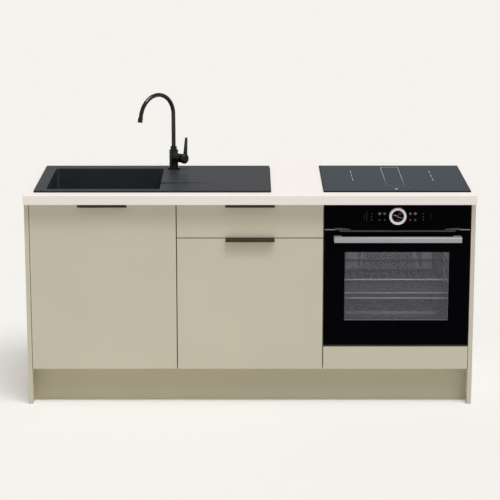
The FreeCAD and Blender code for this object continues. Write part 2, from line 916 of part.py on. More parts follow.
# Sink
def make_sink():
    sink = new_body("sink_basin")
    add_block(sink, ("sink_left", "sink_front", "worktop_top"), ("sink_right", "sink_back", "sink_top"))
    round_edges(sink, "sink_corner", lambda edge: runs_along(edge, "z"))
    inset = "sink_lip + sink_fit_gap"
    add_block(
        sink,
        (f"sink_left + {inset}", f"sink_front + {inset}", "sink_top - sink_deck"),
        (f"sink_right - ({inset})", f"sink_back - ({inset})", "worktop_top"),
    )
    add_block(
        sink,
        ("bowl_left - bowl_wall", "bowl_front - bowl_wall", "bowl_under"),
        ("bowl_right + bowl_wall", "bowl_back + bowl_wall", "worktop_top"),
    )
    take_block(
        sink,
        ("bowl_left", "bowl_front", "bowl_floor"),
        ("bowl_right", "bowl_back", "sink_top + overrun"),
    )
    left, right, front, back, floor = (
        number(edge) for edge in ("bowl_left", "bowl_right", "bowl_front", "bowl_back", "bowl_floor")
    )
    near = number("bowl_wall / 2")

    def lines_the_bowl(edge):
        spots = [vertex.Point for vertex in edge.Vertexes]
        inside = all(
            left - near < spot.x < right + near and front - near < spot.y < back + near for spot in spots
        )
        on_floor = all(abs(spot.z - floor) < near for spot in spots)
        return inside and (on_floor or runs_along(edge, "z"))

    round_edges(sink, "bowl_corner", lines_the_bowl)

    # A shallow channel drains the board into the bowl, deepest where it meets the bowl.
    slope = extrude("drain_channel", "XZ_Plane", (
        ("bowl_right - overrun", "sink_top - channel_depth"),
        ("bowl_right", "sink_top - channel_depth"),
        ("bowl_right + channel_length", "sink_top"),
        ("bowl_right + channel_length", "sink_top + overrun"),
        ("bowl_right - overrun", "sink_top + overrun"),
    ), "channel_width")
    place(slope, ("0", "bowl_front + channel_width", "0"))
    holes = [
        rod("waste_hole", ("waste_x", "waste_y", "bowl_under - overrun"), "z",
            "waste_hole_radius", "bowl_wall + 2 * overrun"),
        rod("tap_hole", ("tap_x", "tap_y", "sink_top - sink_deck - overrun"), "z",
            "tap_hole_radius", "sink_deck + 2 * overrun"),
    ]
    keep(cut("sink", sink, [slope] + holes), "sink_basin")


def make_waste():
    spot = ("waste_x", "waste_y", "0")
    cup = revolve("waste_cup", (
        ("waste_flange_radius", "bowl_floor"),
        ("waste_flange_radius", "bowl_floor + waste_flange"),
        ("waste_cup_radius - waste_cup_wall", "bowl_floor + waste_flange"),
        ("waste_cup_radius - waste_cup_wall", "bowl_floor - waste_cup_depth + waste_cup_wall"),
        ("pipe_radius - pipe_wall", "bowl_floor - waste_cup_depth + waste_cup_wall"),
        ("pipe_radius - pipe_wall", "tail_bottom"),
        ("pipe_radius", "tail_bottom"),
        ("pipe_radius", "bowl_floor - waste_cup_depth"),
        ("waste_cup_radius", "bowl_floor - waste_cup_depth"),
        ("waste_cup_radius", "bowl_floor"),
    ))
    place(cup, spot)
    nut = tube(
        "waste_nut", ("waste_x", "waste_y", "bowl_under - waste_nut"), "z",
        "waste_nut_radius", "waste_cup_radius", "waste_nut",
    )
    keep(group("sink_waste", [cup, nut]), "sink_waste")

    rest = "bowl_floor + waste_flange + basket_gap"
    basket = revolve("basket", (
        ("basket_rim_radius", rest),
        ("basket_rim_radius", f"{rest} + basket_wall"),
        ("basket_radius - basket_wall", f"{rest} + basket_wall"),
        ("basket_radius - basket_wall", f"{rest} - basket_depth + basket_wall"),
        ("basket_knob_radius", f"{rest} - basket_depth + basket_wall"),
        ("basket_knob_radius", f"{rest} - basket_depth + basket_knob"),
        ("0", f"{rest} - basket_depth + basket_knob"),
        ("0", f"{rest} - basket_depth"),
        ("basket_radius", f"{rest} - basket_depth"),
        ("basket_radius", rest),
    ))
    place(basket, spot)
    keep(basket, "sink_strainer_basket")


def make_trap():
    """A bottle trap: its inlet meets the waste's tail, and its outlet runs back to the wall."""
    bore = "pipe_radius - pipe_wall"
    pipe_end = "wall - wall_gap"
    outside = fuse("trap_outside", [
        rod("trap_inlet", ("waste_x", "waste_y", "bottle_top"), "z", "pipe_radius", "inlet_length"),
        rod("trap_bottle", ("waste_x", "waste_y", "bottle_bottom"), "z", "bottle_radius", "bottle_height"),
        rod("trap_outlet", ("waste_x", "waste_y", "outlet"), "y", "pipe_radius", f"{pipe_end} - waste_y"),
        rod("trap_nut", ("waste_x", f"{pipe_end} - spigot_length - outlet_nut", "outlet"), "y",
            "outlet_nut_radius", "outlet_nut"),
    ])
    inside = [
        rod("inlet_bore", ("waste_x", "waste_y", "bottle_top - overrun"), "z",
            bore, "inlet_length + 2 * overrun"),
        rod("bottle_bore", ("waste_x", "waste_y", "bottle_bottom + bottle_wall"), "z",
            "bottle_radius - bottle_wall", "bottle_height - 2 * bottle_wall"),
        rod("outlet_bore", ("waste_x", "waste_y", "outlet"), "y", bore, f"{pipe_end} - waste_y + overrun"),
    ]
    keep(cut("trap", outside, inside), "sink_bottle_trap")


# Tap
def make_tap_body():
    shell = revolve("tap_shell", (
        ("0", "-tap_shank"),
        ("tap_shank_radius", "-tap_shank"),
        ("tap_shank_radius", "0"),
        ("tap_flange_radius", "0"),
        ("tap_flange_radius", "tap_flange"),
        ("tap_body_radius", "tap_flange"),
        ("tap_body_radius", "tap_body_height"),
        ("spout_stub_radius + spout_running_fit", "tap_body_height"),
        ("spout_stub_radius + spout_running_fit", "tap_body_height - spout_stub"),
        ("0", "tap_body_height - spout_stub"),
    ))
    boss = rod("lever_boss", ("0", "0", "lever_rise"), "x", "boss_radius", "boss_reach")
    bore = rod(
        "stem_bore", ("stem_start", "0", "lever_rise"), "x", "stem_radius + stem_running_fit", "boss_reach",
    )
    body = cut("tap_casting", fuse("tap_blank", [shell, boss]), [bore])
    turn_lever(body)
    nut = tube(
        "tap_nut", ("0", "0", "-sink_deck - tap_nut"), "z", "tap_nut_radius", "tap_shank_radius", "tap_nut",
    )
    place(nut, ("tap_x", "tap_y", "sink_top"))
    keep(group("tap_body", [body, nut]), "tap_body")


def turn_lever(piece):
    """Sets a piece, drawn with the lever along +X, at the tap, with the lever turned forward."""
    piece.Placement.Rotation = FreeCAD.Rotation(FreeCAD.Vector(0, 0, -1), 1)
    bind(piece, "Placement.Rotation.Angle", "lever_turn")
    place(piece, ("tap_x", "tap_y", "sink_top"))


def make_tap_spout():
    foot = "tap_body_height + spout_seat_gap"
    inner = "spout_radius - spout_wall"
    riser = f"spout_straight_top - ({foot})"
    solids = [
        rod("spout_stub", ("0", "0", "tap_body_height - spout_stub + spout_seat_gap"), "z",
            "spout_stub_radius", "spout_stub + spout_collar"),
        rod("spout_collar", ("0", "0", foot), "z", "spout_collar_radius", "spout_collar"),
        rod("spout_riser", ("0", "0", foot), "z", "spout_radius", riser),
        arch("spout_arch", "spout_radius"),
        drop("spout_drop", "spout_radius", "0", "spout_drop"),
        drop("spout_nozzle", "nozzle_radius", "spout_drop", "nozzle_length"),
    ]
    water = [
        rod("riser_bore", ("0", "0", foot), "z", inner, riser),
        arch("arch_bore", inner),
        drop("drop_bore", inner, "0", "spout_drop + nozzle_length + overrun"),
    ]
    spout = cut("spout", fuse("spout_outside", solids), water)
    spout.Placement.Rotation = FreeCAD.Rotation(FreeCAD.Vector(0, 0, 1), 1)
    bind(spout, "Placement.Rotation.Angle", "spout_turn")
    place(spout, ("tap_x", "tap_y", "sink_top"))
    keep(spout, "tap_spout")


def arch(name, radius):
    """The bend of the spout, from the top of its riser over towards -X."""
    bend = doc.addObject("Part::Torus", name)
    bind(bend, "Radius1", "arch_radius")
    bind(bend, "Radius2", radius)
    bind(bend, "Angle3", "arch_angle")
    bend.Placement.Rotation = FreeCAD.Rotation(FreeCAD.Vector(1, 0, 0), 90)
    place(bend, ("-arch_radius", "0", "spout_straight_top"))
    return bend


def drop(name, radius, start, length):
    """A straight stretch of the spout, measured on from the end of its bend."""
    piece = doc.addObject("Part::Cylinder", name)
    bind(piece, "Radius", radius)
    bind(piece, "Height", length)
    piece.Placement.Rotation = FreeCAD.Rotation(FreeCAD.Vector(0, -1, 0), 1)
    bind(piece, "Placement.Rotation.Angle", "arch_angle")
    place(piece, (
        f"-arch_radius + arch_radius * cos(arch_angle) - ({start}) * sin(arch_angle)",
        "0",
        f"spout_straight_top + arch_radius * sin(arch_angle) + ({start}) * cos(arch_angle)",
    ))
    return piece


def make_tap_lever():
    """The stem turns in the boss, and the lever tilts on the stem's cross pin."""
    stem = fuse("stem", [
        rod("stem_shaft", ("stem_start + spout_seat_gap", "0", "lever_rise"), "x",
            "stem_radius", "knuckle_reach + stem_end - stem_start - spout_seat_gap"),
        rod("stem_pin", ("knuckle_reach", "-knuckle_pin_length / 2", "lever_rise"), "y",
            "knuckle_pin_radius", "knuckle_pin_length"),
    ])
    turn_lever(stem)
    keep(stem, "tap_lever_stem")

    cap = revolve("lever_cap", (
        ("0", "lever_cap_start"),
        ("lever_cap_radius - lever_cap_chamfer", "lever_cap_start"),
        ("lever_cap_radius", "lever_cap_start + lever_cap_chamfer"),
        ("lever_cap_radius", "lever_cap_end - lever_cap_edge"),
        ("lever_cap_radius - lever_cap_edge", "lever_cap_end"),
        ("0", "lever_cap_end"),
    ))
    cap.Placement.Rotation = TURNS["x"]
    place(cap, ("0", "0", "lever_rise"))
    blade = doc.addObject("Part::Wedge", "lever_blade")
    for side, formula in (
        ("Xmin", "0"),
        ("Xmax", "blade_foot_thick"),
        ("Ymin", "0"),
        ("Ymax", "blade_top"),
        ("Zmin", "-blade_foot_width / 2"),
        ("Zmax", "blade_foot_width / 2"),
        ("X2min", "blade_foot_thick + blade_lean - blade_tip_thick"),
        ("X2max", "blade_foot_thick + blade_lean"),
        ("Z2min", "-blade_tip_width / 2"),
        ("Z2max", "blade_tip_width / 2"),
    ):
        bind(blade, side, formula)
    blade.Placement.Rotation = FreeCAD.Rotation(FreeCAD.Vector(1, 0, 0), 90)
    place(blade, ("lever_cap_end - blade_foot_thick", "0", "lever_rise"))
    slot = box(
        "lever_slot_space",
        ("lever_cap_start - overrun", "-(stem_radius + lever_slot_gap)", "lever_rise - lever_slot / 2"),
        ("lever_cap_start + lever_slot_depth", "stem_radius + lever_slot_gap", "lever_rise + lever_slot / 2"),
    )
    pin_bore = rod(
        "pin_bore", ("knuckle_reach", "-lever_cap_radius", "lever_rise"), "y",
        "knuckle_pin_radius + stem_running_fit", "2 * lever_cap_radius",
    )
    lever = cut("lever", fuse("lever_blank", [cap, blade]), [slot, pin_bore])
    turn_lever(lever)
    keep(lever, "tap_lever")


# Hob
def make_hob():
    glass = box("hob_glass", ("hob_left", "hob_front", "worktop_top"),
                ("hob_right", "hob_back", "worktop_top + hob_glass"))
    keep(glass, "hob_glass")

    side = "hob_side_lip + hob_fit_gap"
    end = "hob_front_lip + hob_fit_gap"
    shell = box(
        "hob_tray_shell",
        (f"hob_left + {side}", f"hob_front + {end}", "hob_bottom"),
        (f"hob_right - ({side})", f"hob_back - ({end})", "worktop_top"),
    )
    space = box(
        "hob_tray_space",
        (f"hob_left + {side} + hob_sheet", f"hob_front + {end} + hob_sheet", "hob_bottom + hob_sheet"),
        (f"hob_right - ({side}) - hob_sheet", f"hob_back - ({end}) - hob_sheet", "worktop_top + overrun"),
    )
    keep(cut("hob_casing", shell, [space]), "hob_casing")

    coils = []
    for x_sign, y_sign, radius in (
        ("-", "-", "large_coil_radius"),
        ("-", "+", "small_coil_radius"),
        ("+", "-", "small_coil_radius"),
        ("+", "+", "large_coil_radius"),
    ):
        foot = (
            f"oven_mid {x_sign} coil_across",
            f"hob_mid {y_sign} coil_along",
            "worktop_top - coil_gap - coil_thick",
        )
        coils.append(tube("hob_coil", foot, "z", radius, "coil_core_radius", "coil_thick"))
    keep(group("hob_coils", coils), "hob_coils")


# Oven body
def oven_block(name, half, front, back, low, high):
    """A block centred across the oven."""
    return box(name, (f"oven_mid - ({half})", front, low), (f"oven_mid + ({half})", back, high))


def make_oven_casing():
    inner_half = "casing_width / 2 - casing_sheet"
    shell = oven_block(
        "casing_shell", "casing_width / 2", "chassis", "casing_back", "oven_shelf_top", "casing_top",
    )
    space = oven_block(
        "casing_space", inner_half, "chassis - overrun", "casing_back - casing_sheet",
        "oven_shelf_top + casing_sheet", "casing_top - casing_sheet",
    )
    strip = oven_block(
        "bottom_strip", "oven_half", "face", "face + oven_plate", "oven_low", "oven_low + bottom_trim",
    )
    link = oven_block(
        "bottom_link", "panel_rear_width / 2", "face + oven_plate", "chassis + liner_sheet",
        "oven_low", "oven_low + bottom_trim",
    )
    riser = oven_block(
        "bottom_riser", "panel_rear_width / 2", "chassis", "chassis + liner_sheet",
        "oven_shelf_top", "oven_low + bottom_trim",
    )
    shell = fuse("casing_walls", [cut("casing_box", shell, [space]), strip, link, riser])
    keep(shell, "oven_casing")


def make_oven_cavity():
    """The enamelled liner, with the face plate that closes the casing round it."""
    outer_half = "cavity_width / 2 + liner_sheet"
    plate = oven_block(
        "face_plate", "casing_width / 2 - casing_sheet", "chassis", "chassis + liner_sheet",
        "oven_low + bottom_trim", "casing_top - casing_sheet",
    )
    liner = oven_block(
        "liner_outside", outer_half, "chassis", "liner_back",
        "cavity_low - liner_sheet", "cavity_high + liner_sheet",
    )
    space = oven_block(
        "liner_space", "cavity_width / 2", "chassis - overrun", "cavity_back", "cavity_low", "cavity_high",
    )
    shaft_hole = rod(
        "liner_shaft_hole", ("oven_mid", "cavity_back - overrun", "fan_z"), "y",
        "shaft_hole_radius", "liner_sheet + 2 * overrun",
    )
    keep(cut("cavity", fuse("liner_blank", [plate, liner]), [space, shaft_hole]), "oven_cavity")

    wool_half = f"{outer_half} + wool_thick"
    wool = oven_block(
        "wool_outside", wool_half, "chassis + liner_sheet", "liner_back + wool_thick",
        "cavity_low - liner_sheet - wool_thick", "cavity_high + liner_sheet + wool_thick",
    )
    liner_space = oven_block(
        "wool_space", outer_half, "chassis", "liner_back",
        "cavity_low - liner_sheet", "cavity_high + liner_sheet",
    )
    motor_space = rod(
        "wool_motor_space", ("oven_mid", "cavity_back", "fan_z"), "y",
        "motor_radius + motor_gap", "liner_sheet + wool_thick + overrun",
    )
    keep(cut("wool", wool, [liner_space, motor_space]), "oven_insulation")

    seal = oven_block(
        "seal_outside", "cavity_width / 2 + seal_width", "door_rear + seal_gap", "chassis",
        "cavity_low - seal_width", "cavity_high + seal_width",
    )
    seal_space = oven_block(
        "seal_space", "cavity_width / 2", "door_rear - overrun", "chassis + overrun",
        "cavity_low", "cavity_high",
    )
    keep(cut("seal", seal, [seal_space]), "oven_door_seal")


def make_oven_panel():
    plate = oven_block("panel_plate", "oven_half", "face", "face + oven_plate", "panel_low", "oven_high")
    rear = oven_block(
        "panel_rear", "panel_rear_width / 2", "face + oven_plate", "chassis",
        "panel_low + panel_rear_rise", "casing_top - casing_sheet",
    )
    display = rod(
        "display", ("oven_mid", "face - display_reach", "ring_z"), "y",
        "display_radius", "display_reach",
    )
    keep(fuse("panel", [plate, rear, display]), "oven_control_panel")
    ring = tube(
        "control_ring", ("oven_mid", "face - ring_reach", "ring_z"), "y",
        "ring_radius", "ring_bore_radius", "ring_reach - ring_gap",
    )
    keep(ring, "oven_control_ring")


# Oven door
def make_oven_door():
    glass = oven_block("door_glass", "oven_half", "face", "face + door_glass", "door_low", "door_top")
    keep(glass, "oven_door_glass")

    front = oven_block(
        "door_front_plate", "oven_half - door_frame_margin", "face + door_glass", "face + oven_plate",
        "door_low + door_frame_margin", "door_top - door_frame_margin",
    )
    rear = oven_block(
        "door_rear_box", "door_rear_width / 2", "face + oven_plate", "door_rear",
        "door_low + door_rear_rise", "door_top - door_rear_drop",
    )
    window = oven_block(
        "door_window", "window_width / 2", "face", "door_rear + overrun", "window_low", "window_high",
    )
    lap = "inner_glass_lap"
    rebate = (
        f"window_width / 2 + {lap}", "door_rear - door_glass", "door_rear",
        f"window_low - {lap}", f"window_high + {lap}",
    )
    spaces = [window, oven_block("inner_glass_space", *rebate)]
    reach = "hinge_arm_height / 2 + hinge_side_gap"
    for sign in ("-", "+"):
        arm = f"(oven_mid {sign} hinge_spread)"
        spaces.append(box(
            "hinge_slot",
            (f"{arm} - hinge_arm / 2 - hinge_side_gap", f"pivot_y - ({reach})", "door_low - overrun"),
            (f"{arm} + hinge_arm / 2 + hinge_side_gap", "door_rear + overrun", f"pivot_z + {reach}"),
        ))
        spaces.append(rod(
            "hinge_bore", (f"{arm} - hinge_pin_length / 2 - hinge_side_gap", "pivot_y", "pivot_z"), "x",
            "hinge_pin_radius + hinge_running_fit", "hinge_pin_length + 2 * hinge_side_gap",
        ))
    keep(cut("door_frame", fuse("door_blank", [front, rear]), spaces), "oven_door_frame")
    keep(oven_block("inner_glass", *rebate), "oven_door_inner_glass")

    brackets = []
    for sign in ("-", "+"):
        arm = f"(oven_mid {sign} hinge_spread)"
        bar = box(
            "hinge_bar",
            (f"{arm} - hinge_arm / 2", "pivot_y", "pivot_z - hinge_arm_height / 2"),
            (f"{arm} + hinge_arm / 2", "chassis", "pivot_z + hinge_arm_height / 2"),
        )
        eye = rod("hinge_eye", (f"{arm} - hinge_arm / 2", "pivot_y", "pivot_z"), "x",
                  "hinge_arm_height / 2", "hinge_arm")
        pin = rod("hinge_pin", (f"{arm} - hinge_pin_length / 2", "pivot_y", "pivot_z"), "x",
                  "hinge_pin_radius", "hinge_pin_length")
        brackets.append(fuse("hinge_bracket", [bar, eye, pin]))
    keep(group("oven_hinge_brackets", brackets), "oven_hinge_brackets")

    handle = new_body("oven_door_handle")
    high = "door_top - handle_drop"
    low = f"{high} - handle_height"
    add_block(
        handle,
        ("oven_mid - handle_length / 2", "face - oven_handle_reach", low),
        ("oven_mid + handle_length / 2", "face - oven_handle_reach + handle_bar", high),
    )
    round_edges(handle, "handle_round", lambda edge: runs_along(edge, "x"))
    for start in ("oven_mid - handle_length / 2", "oven_mid + handle_length / 2 - handle_post"):
        add_block(
            handle,
            (start, "face - oven_handle_reach + handle_bar / 2", f"{low} + handle_round"),
            (f"{start} + handle_post", "face", f"{high} - handle_round"),
        )
    keep(handle, "oven_door_handle")


# Inside the oven
def make_racks():
    front = "chassis + rack_front"
    solids = []
    for sign in ("-", "+"):
        wire_x = f"oven_mid {sign} rack_wire_half"
        post_x = f"oven_mid {sign} rack_post_half"
        wires = []
        foot = "cavity_low + rack_first - rack_post_overhang"
        tall = f"{RACK_LEVELS - 1} * rack_pitch + rack_pair + 2 * rack_post_overhang"
        for post_y in (f"{front} + rack_post_inset", f"{front} + rack_length - rack_post_inset"):
            wires.append(rod("rack_post", (post_x, post_y, foot), "z", "rack_post_radius", tall))
            for stud_z in (f"{foot} + rack_stud_inset", f"{foot} + {tall} - rack_stud_inset"):
                start = "oven_mid - cavity_width / 2" if sign == "-" else post_x
                wires.append(rod(
                    "rack_stud", (start, post_y, stud_z), "x", "rack_wire_radius", "rack_post_standoff",
                ))
        for level in range(RACK_LEVELS):
            for lift in ("0", "rack_pair"):
                wire_z = f"cavity_low + rack_first + {level} * rack_pitch + {lift}"
                wires.append(rod("rack_wire", (wire_x, front, wire_z), "y",
                                 "rack_wire_radius", "rack_length"))
        solids.append(fuse("side_rack", wires))
    keep(group("oven_side_racks", solids), "oven_side_racks")


def rack_rest(level, radius):
    """The height of a wire that lies on the side racks at one level."""
    return f"cavity_low + rack_first + {level} * rack_pitch + rack_wire_radius + shelf_gap + {radius}"


def make_wire_shelf():
    front = "chassis + shelf_front"
    half = "(shelf_half - shelf_wire_radius)"
    wire_z = rack_rest(SHELF_LEVEL, "shelf_wire_radius")
    wires = []
    for wire_y in (front, f"{front} + shelf_length"):
        wires.append(rod("shelf_bar", (f"oven_mid - {half}", wire_y, wire_z), "x",
                         "shelf_wire_radius", f"2 * {half}"))
        for wire_x in (f"oven_mid - {half}", f"oven_mid + {half}"):
            corner = doc.addObject("Part::Sphere", "shelf_corner")
            bind(corner, "Radius", "shelf_wire_radius")
            place(corner, (wire_x, wire_y, wire_z))
            wires.append(corner)
    for wire_x in (f"oven_mid - {half}", f"oven_mid + {half}"):
        wires.append(rod("shelf_side", (wire_x, front, wire_z), "y", "shelf_wire_radius", "shelf_length"))
    for index in range(SHELF_WIRES):
        wire_x = f"oven_mid - {half} + {index + 1} * 2 * {half} / {SHELF_WIRES + 1}"
        wires.append(rod("shelf_wire", (wire_x, front, wire_z), "y", "shelf_thin_radius", "shelf_length"))
    keep(fuse("wire_shelf", wires), "oven_wire_shelf")


def make_pan():
    rim_low = rack_rest(PAN_LEVEL, "0")
    rim_high = f"{rim_low} + pan_sheet"
    half = "shelf_half"
    front = "chassis + shelf_front"
    back = f"{front} + shelf_length"
    pan = new_body("pan")
    add_block(pan, (f"oven_mid - {half}", front, rim_low), (f"oven_mid + {half}", back, rim_high))
    add_block(
        pan,
        (f"oven_mid - {half} + pan_rim", f"{front} + pan_sheet", f"{rim_high} - pan_depth"),
        (f"oven_mid + {half} - pan_rim", f"{back} - pan_rim", rim_high),
    )
    take_block(
        pan,
        (f"oven_mid - {half} + pan_rim + pan_sheet", f"{front} + 2 * pan_sheet",
         f"{rim_high} - pan_depth + pan_sheet"),
        (f"oven_mid + {half} - pan_rim - pan_sheet", f"{back} - pan_rim - pan_sheet",
         f"{rim_high} + overrun"),
    )
    keep(pan, "oven_baking_pan")


def make_fan():
    shell = oven_block(
        "cover_outside", "cover_width / 2", "cover_front", "cavity_back",
        "cover_low", "cover_high",
    )
    space = oven_block(
        "cover_space", "cover_width / 2 - cover_sheet", "cover_front + cover_sheet", "cavity_back + overrun",
        "cover_low + cover_sheet", "cover_high - cover_sheet",
    )
    slots = []
    for index in range(COVER_SLOTS):
        slot = box("cover_slot", ("0", "0", "0"), ("slot_length", "cover_sheet + 2 * overrun", "slot_width"))
        angle = 360 * index / COVER_SLOTS
        slot.Placement.Rotation = FreeCAD.Rotation(FreeCAD.Vector(0, 1, 0), angle)
        place(slot, (
            f"oven_mid + slot_start * cos({angle}) - slot_width / 2 * sin({angle})",
            "cover_front - overrun",
            f"fan_z - slot_start * sin({angle}) - slot_width / 2 * cos({angle})",
        ))
        slots.append(slot)
    keep(cut("fan_cover", cut("cover_shell", shell, [space]), slots), "oven_fan_cover")

    disc_back = "cavity_back - fan_back_gap"
    shaft_end = "liner_back + shaft_in_motor"
    blades = []
    for index in range(FAN_BLADES):
        blade = box("fan_blade", ("0", "0", "0"), ("fan_blade_length", "fan_depth", "fan_sheet"))
        angle = 360 * index / FAN_BLADES
        blade.Placement.Rotation = FreeCAD.Rotation(FreeCAD.Vector(0, 1, 0), angle)
        place(blade, (
            f"oven_mid + fan_blade_start * cos({angle})",
            f"{disc_back} - fan_depth",
            f"fan_z - fan_blade_start * sin({angle})",
        ))
        blades.append(blade)
    wheel = fuse("fan_wheel", blades + [
        rod("fan_disc", ("oven_mid", f"{disc_back} - fan_sheet", "fan_z"), "y", "fan_radius", "fan_sheet"),
        rod("fan_hub", ("oven_mid", f"{disc_back} - fan_depth", "fan_z"), "y", "fan_hub_radius", "fan_depth"),
        rod("fan_shaft", ("oven_mid", f"{disc_back} - fan_sheet", "fan_z"), "y", "shaft_radius",
            f"{shaft_end} - ({disc_back}) + fan_sheet"),
    ])
    keep(wheel, "oven_fan_wheel")

    motor = rod("motor", ("oven_mid", "liner_back", "fan_z"), "y", "motor_radius", "motor_length")
    bore = rod("motor_bore", ("oven_mid", "liner_back - overrun", "fan_z"), "y",
               "shaft_radius + shaft_running_fit", "shaft_in_motor + shaft_end_gap + overrun")
    keep(cut("fan_motor", motor, [bore]), "oven_fan_motor")


def check_document():
    """Stops before anything is written if an object failed or a sub-part isn't a sound solid."""
    doc.recompute()
    for item in doc.Objects:
        if "Invalid" in item.State or "Error" in item.State:
            raise RuntimeError(f"{item.Label} failed: {item.State}")
    for label, piece in finished.items():
        shape = piece.Shape
        if shape.isNull() or not shape.isValid() or not shape.Solids:
            raise RuntimeError(f"{label} has no sound solid")


def write_parts():
    os.makedirs("parts", exist_ok=True)
    for label, piece in finished.items():
        piece.Shape.exportStep(f"parts/{label}.step")
        box_now = piece.Shape.BoundBox
        print(
            f"{label}: {len(piece.Shape.Solids)} solids, {piece.Shape.Volume / 1000:.1f} cm3,"
            f" x {box_now.XMin:.1f} to {box_now.XMax:.1f}, y {box_now.YMin:.1f} to {box_now.YMax:.1f},"
            f" z {box_now.ZMin:.1f} to {box_now.ZMax:.1f}"
        )
    print(len(finished), "sub-parts")


make_worktop()
make_end_panels()
make_plinth()
make_legs()
make_plinth_clips()
make_carcasses()
make_backs()
make_rails()
make_filler()
make_pull_outs()
make_sink()
make_waste()
make_trap()
make_tap_body()
make_tap_spout()
make_tap_lever()
make_hob()
make_oven_casing()
make_oven_cavity()
make_oven_panel()
make_oven_door()
make_racks()
make_wire_shelf()
make_pan()
make_fan()
check_document()
write_parts()
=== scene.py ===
import json
import math

import bmesh
import bpy
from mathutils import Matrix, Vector


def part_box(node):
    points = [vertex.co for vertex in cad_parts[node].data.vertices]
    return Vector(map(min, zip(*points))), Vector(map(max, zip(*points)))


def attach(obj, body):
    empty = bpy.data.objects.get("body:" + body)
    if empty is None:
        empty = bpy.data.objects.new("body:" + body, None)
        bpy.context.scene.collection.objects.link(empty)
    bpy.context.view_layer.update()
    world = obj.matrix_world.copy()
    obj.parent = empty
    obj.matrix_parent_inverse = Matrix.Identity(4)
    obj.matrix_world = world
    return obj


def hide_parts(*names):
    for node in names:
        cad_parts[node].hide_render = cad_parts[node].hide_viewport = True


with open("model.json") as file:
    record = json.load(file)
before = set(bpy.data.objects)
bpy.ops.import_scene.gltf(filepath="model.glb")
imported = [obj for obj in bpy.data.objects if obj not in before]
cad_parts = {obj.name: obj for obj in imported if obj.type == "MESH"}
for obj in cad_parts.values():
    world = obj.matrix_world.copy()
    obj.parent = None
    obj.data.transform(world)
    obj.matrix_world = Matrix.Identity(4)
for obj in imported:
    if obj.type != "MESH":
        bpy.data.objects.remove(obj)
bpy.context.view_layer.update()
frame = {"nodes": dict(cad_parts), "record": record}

# A fitted run of kitchen base units: sink unit, drawer unit and oven unit under one worktop.
# Metres, in the frame of the solids: the floor is z = 0, -Y is the front.
NODES = frame["nodes"]
SLOTS = {entry["node"]: entry["material_slot"] for entry in frame["record"]["subparts"]}


def srgb(red, green, blue):
    """A colour read as 0 to 255 values, made linear."""
    return tuple(
        c / 12.92 if c <= 0.04045 else ((c + 0.055) / 1.055) ** 2.4
        for c in (red / 255, green / 255, blue / 255)
    )


def shade(colour, factor):
    return tuple(min(1.0, c * factor) for c in colour)


# Materials
class Shader:
    """A node material round one Principled shader, its patterns in the object's coordinates."""

    def __init__(self, name, colour, roughness, metallic=0.0, specular=0.5, **more):
        self.material = bpy.data.materials.new(name)
        self.material.use_nodes = True
        self.tree = self.material.node_tree
        self.tree.nodes.clear()
        self.colour = colour
        self.core = self.node(
            "BsdfPrincipled", Base_Color=(*colour, 1), Roughness=roughness, Metallic=metallic,
            Specular_IOR_Level=specular, **more,
        )
        self.link(self.core.outputs["BSDF"], self.node("OutputMaterial").inputs["Surface"])
        self.coords = self.node("TexCoord").outputs["Object"]
        self.height = None

    def node(self, kind, **sockets):
        """A new node, with numbers set on its sockets."""
        made = self.tree.nodes.new("ShaderNode" + kind)
        for socket, value in sockets.items():
            made.inputs[socket.replace("_", " ")].default_value = value
        return made

    def link(self, source, target):
        self.tree.links.new(source, target)

    def noise(self, scale, detail, roughness=0.55, stretch=(1, 1, 1)):
        mapping = self.node("Mapping", Scale=stretch)
        self.link(self.coords, mapping.inputs["Vector"])
        pattern = self.node("TexNoise", Scale=scale, Detail=detail, Roughness=roughness)
        self.link(mapping.outputs["Vector"], pattern.inputs["Vector"])
        return pattern.outputs["Fac"]

    def cells(self, scale):
        pattern = self.node("TexVoronoi", Scale=scale)
        self.link(self.coords, pattern.inputs["Vector"])
        return pattern.outputs["Distance"]

    def waves(self, scale, direction):
        pattern = self.node("TexWave", Scale=scale)
        pattern.bands_direction = direction
        self.link(self.coords, pattern.inputs["Vector"])
        return pattern.outputs["Fac"]

    def spread(self, source, low, high, start, end):
        """Maps a pattern's range from start to end onto the range from low to high."""
        ramp = self.node("MapRange", From_Min=start, From_Max=end, To_Min=low, To_Max=high)
        self.link(source, ramp.inputs["Value"])
        return ramp.outputs["Result"]

    def tint(self, source, other, share, start, end):
        """Blends the base colour towards another where the pattern is past start."""
        mix = self.node("Mix")
        mix.data_type = "RGBA"
        base = self.core.inputs["Base Color"]
        if base.links:
            self.link(base.links[0].from_socket, mix.inputs["A"])
        else:
            mix.inputs["A"].default_value = (*self.colour, 1)
        mix.inputs["B"].default_value = (*other, 1)
        self.link(self.spread(source, 0.0, share, start, end), mix.inputs["Factor"])
        self.link(mix.outputs["Result"], base)

    def gloss(self, source, low, high, start=0.3, end=0.7):
        """Lets the roughness wander from low to high."""
        self.link(self.spread(source, low, high, start, end), self.core.inputs["Roughness"])

    def bump(self, source, strength, distance):
        relief = self.node("Bump", Strength=strength, Distance=distance)
        self.link(source, relief.inputs["Height"])
        if self.height is not None:
            self.link(self.height, relief.inputs["Normal"])
        self.height = relief.outputs["Normal"]
        self.link(self.height, self.core.inputs["Normal"])


def lacquer(name, colour):
    """Matt lacquer: a faint cloudiness, a fine orange peel and a slightly uneven gloss."""
    look = Shader(name, colour, 0.5, specular=0.32)
    look.tint(look.noise(2.2, 2.0), shade(colour, 0.955), 1.0, 0.35, 0.7)
    look.tint(look.noise(900, 2.0), shade(colour, 1.05), 0.5, 0.45, 0.7)
    look.gloss(look.noise(18, 3.0), 0.44, 0.56)
    look.bump(look.noise(420, 2.0), 0.10, 0.0004)
    return look.material


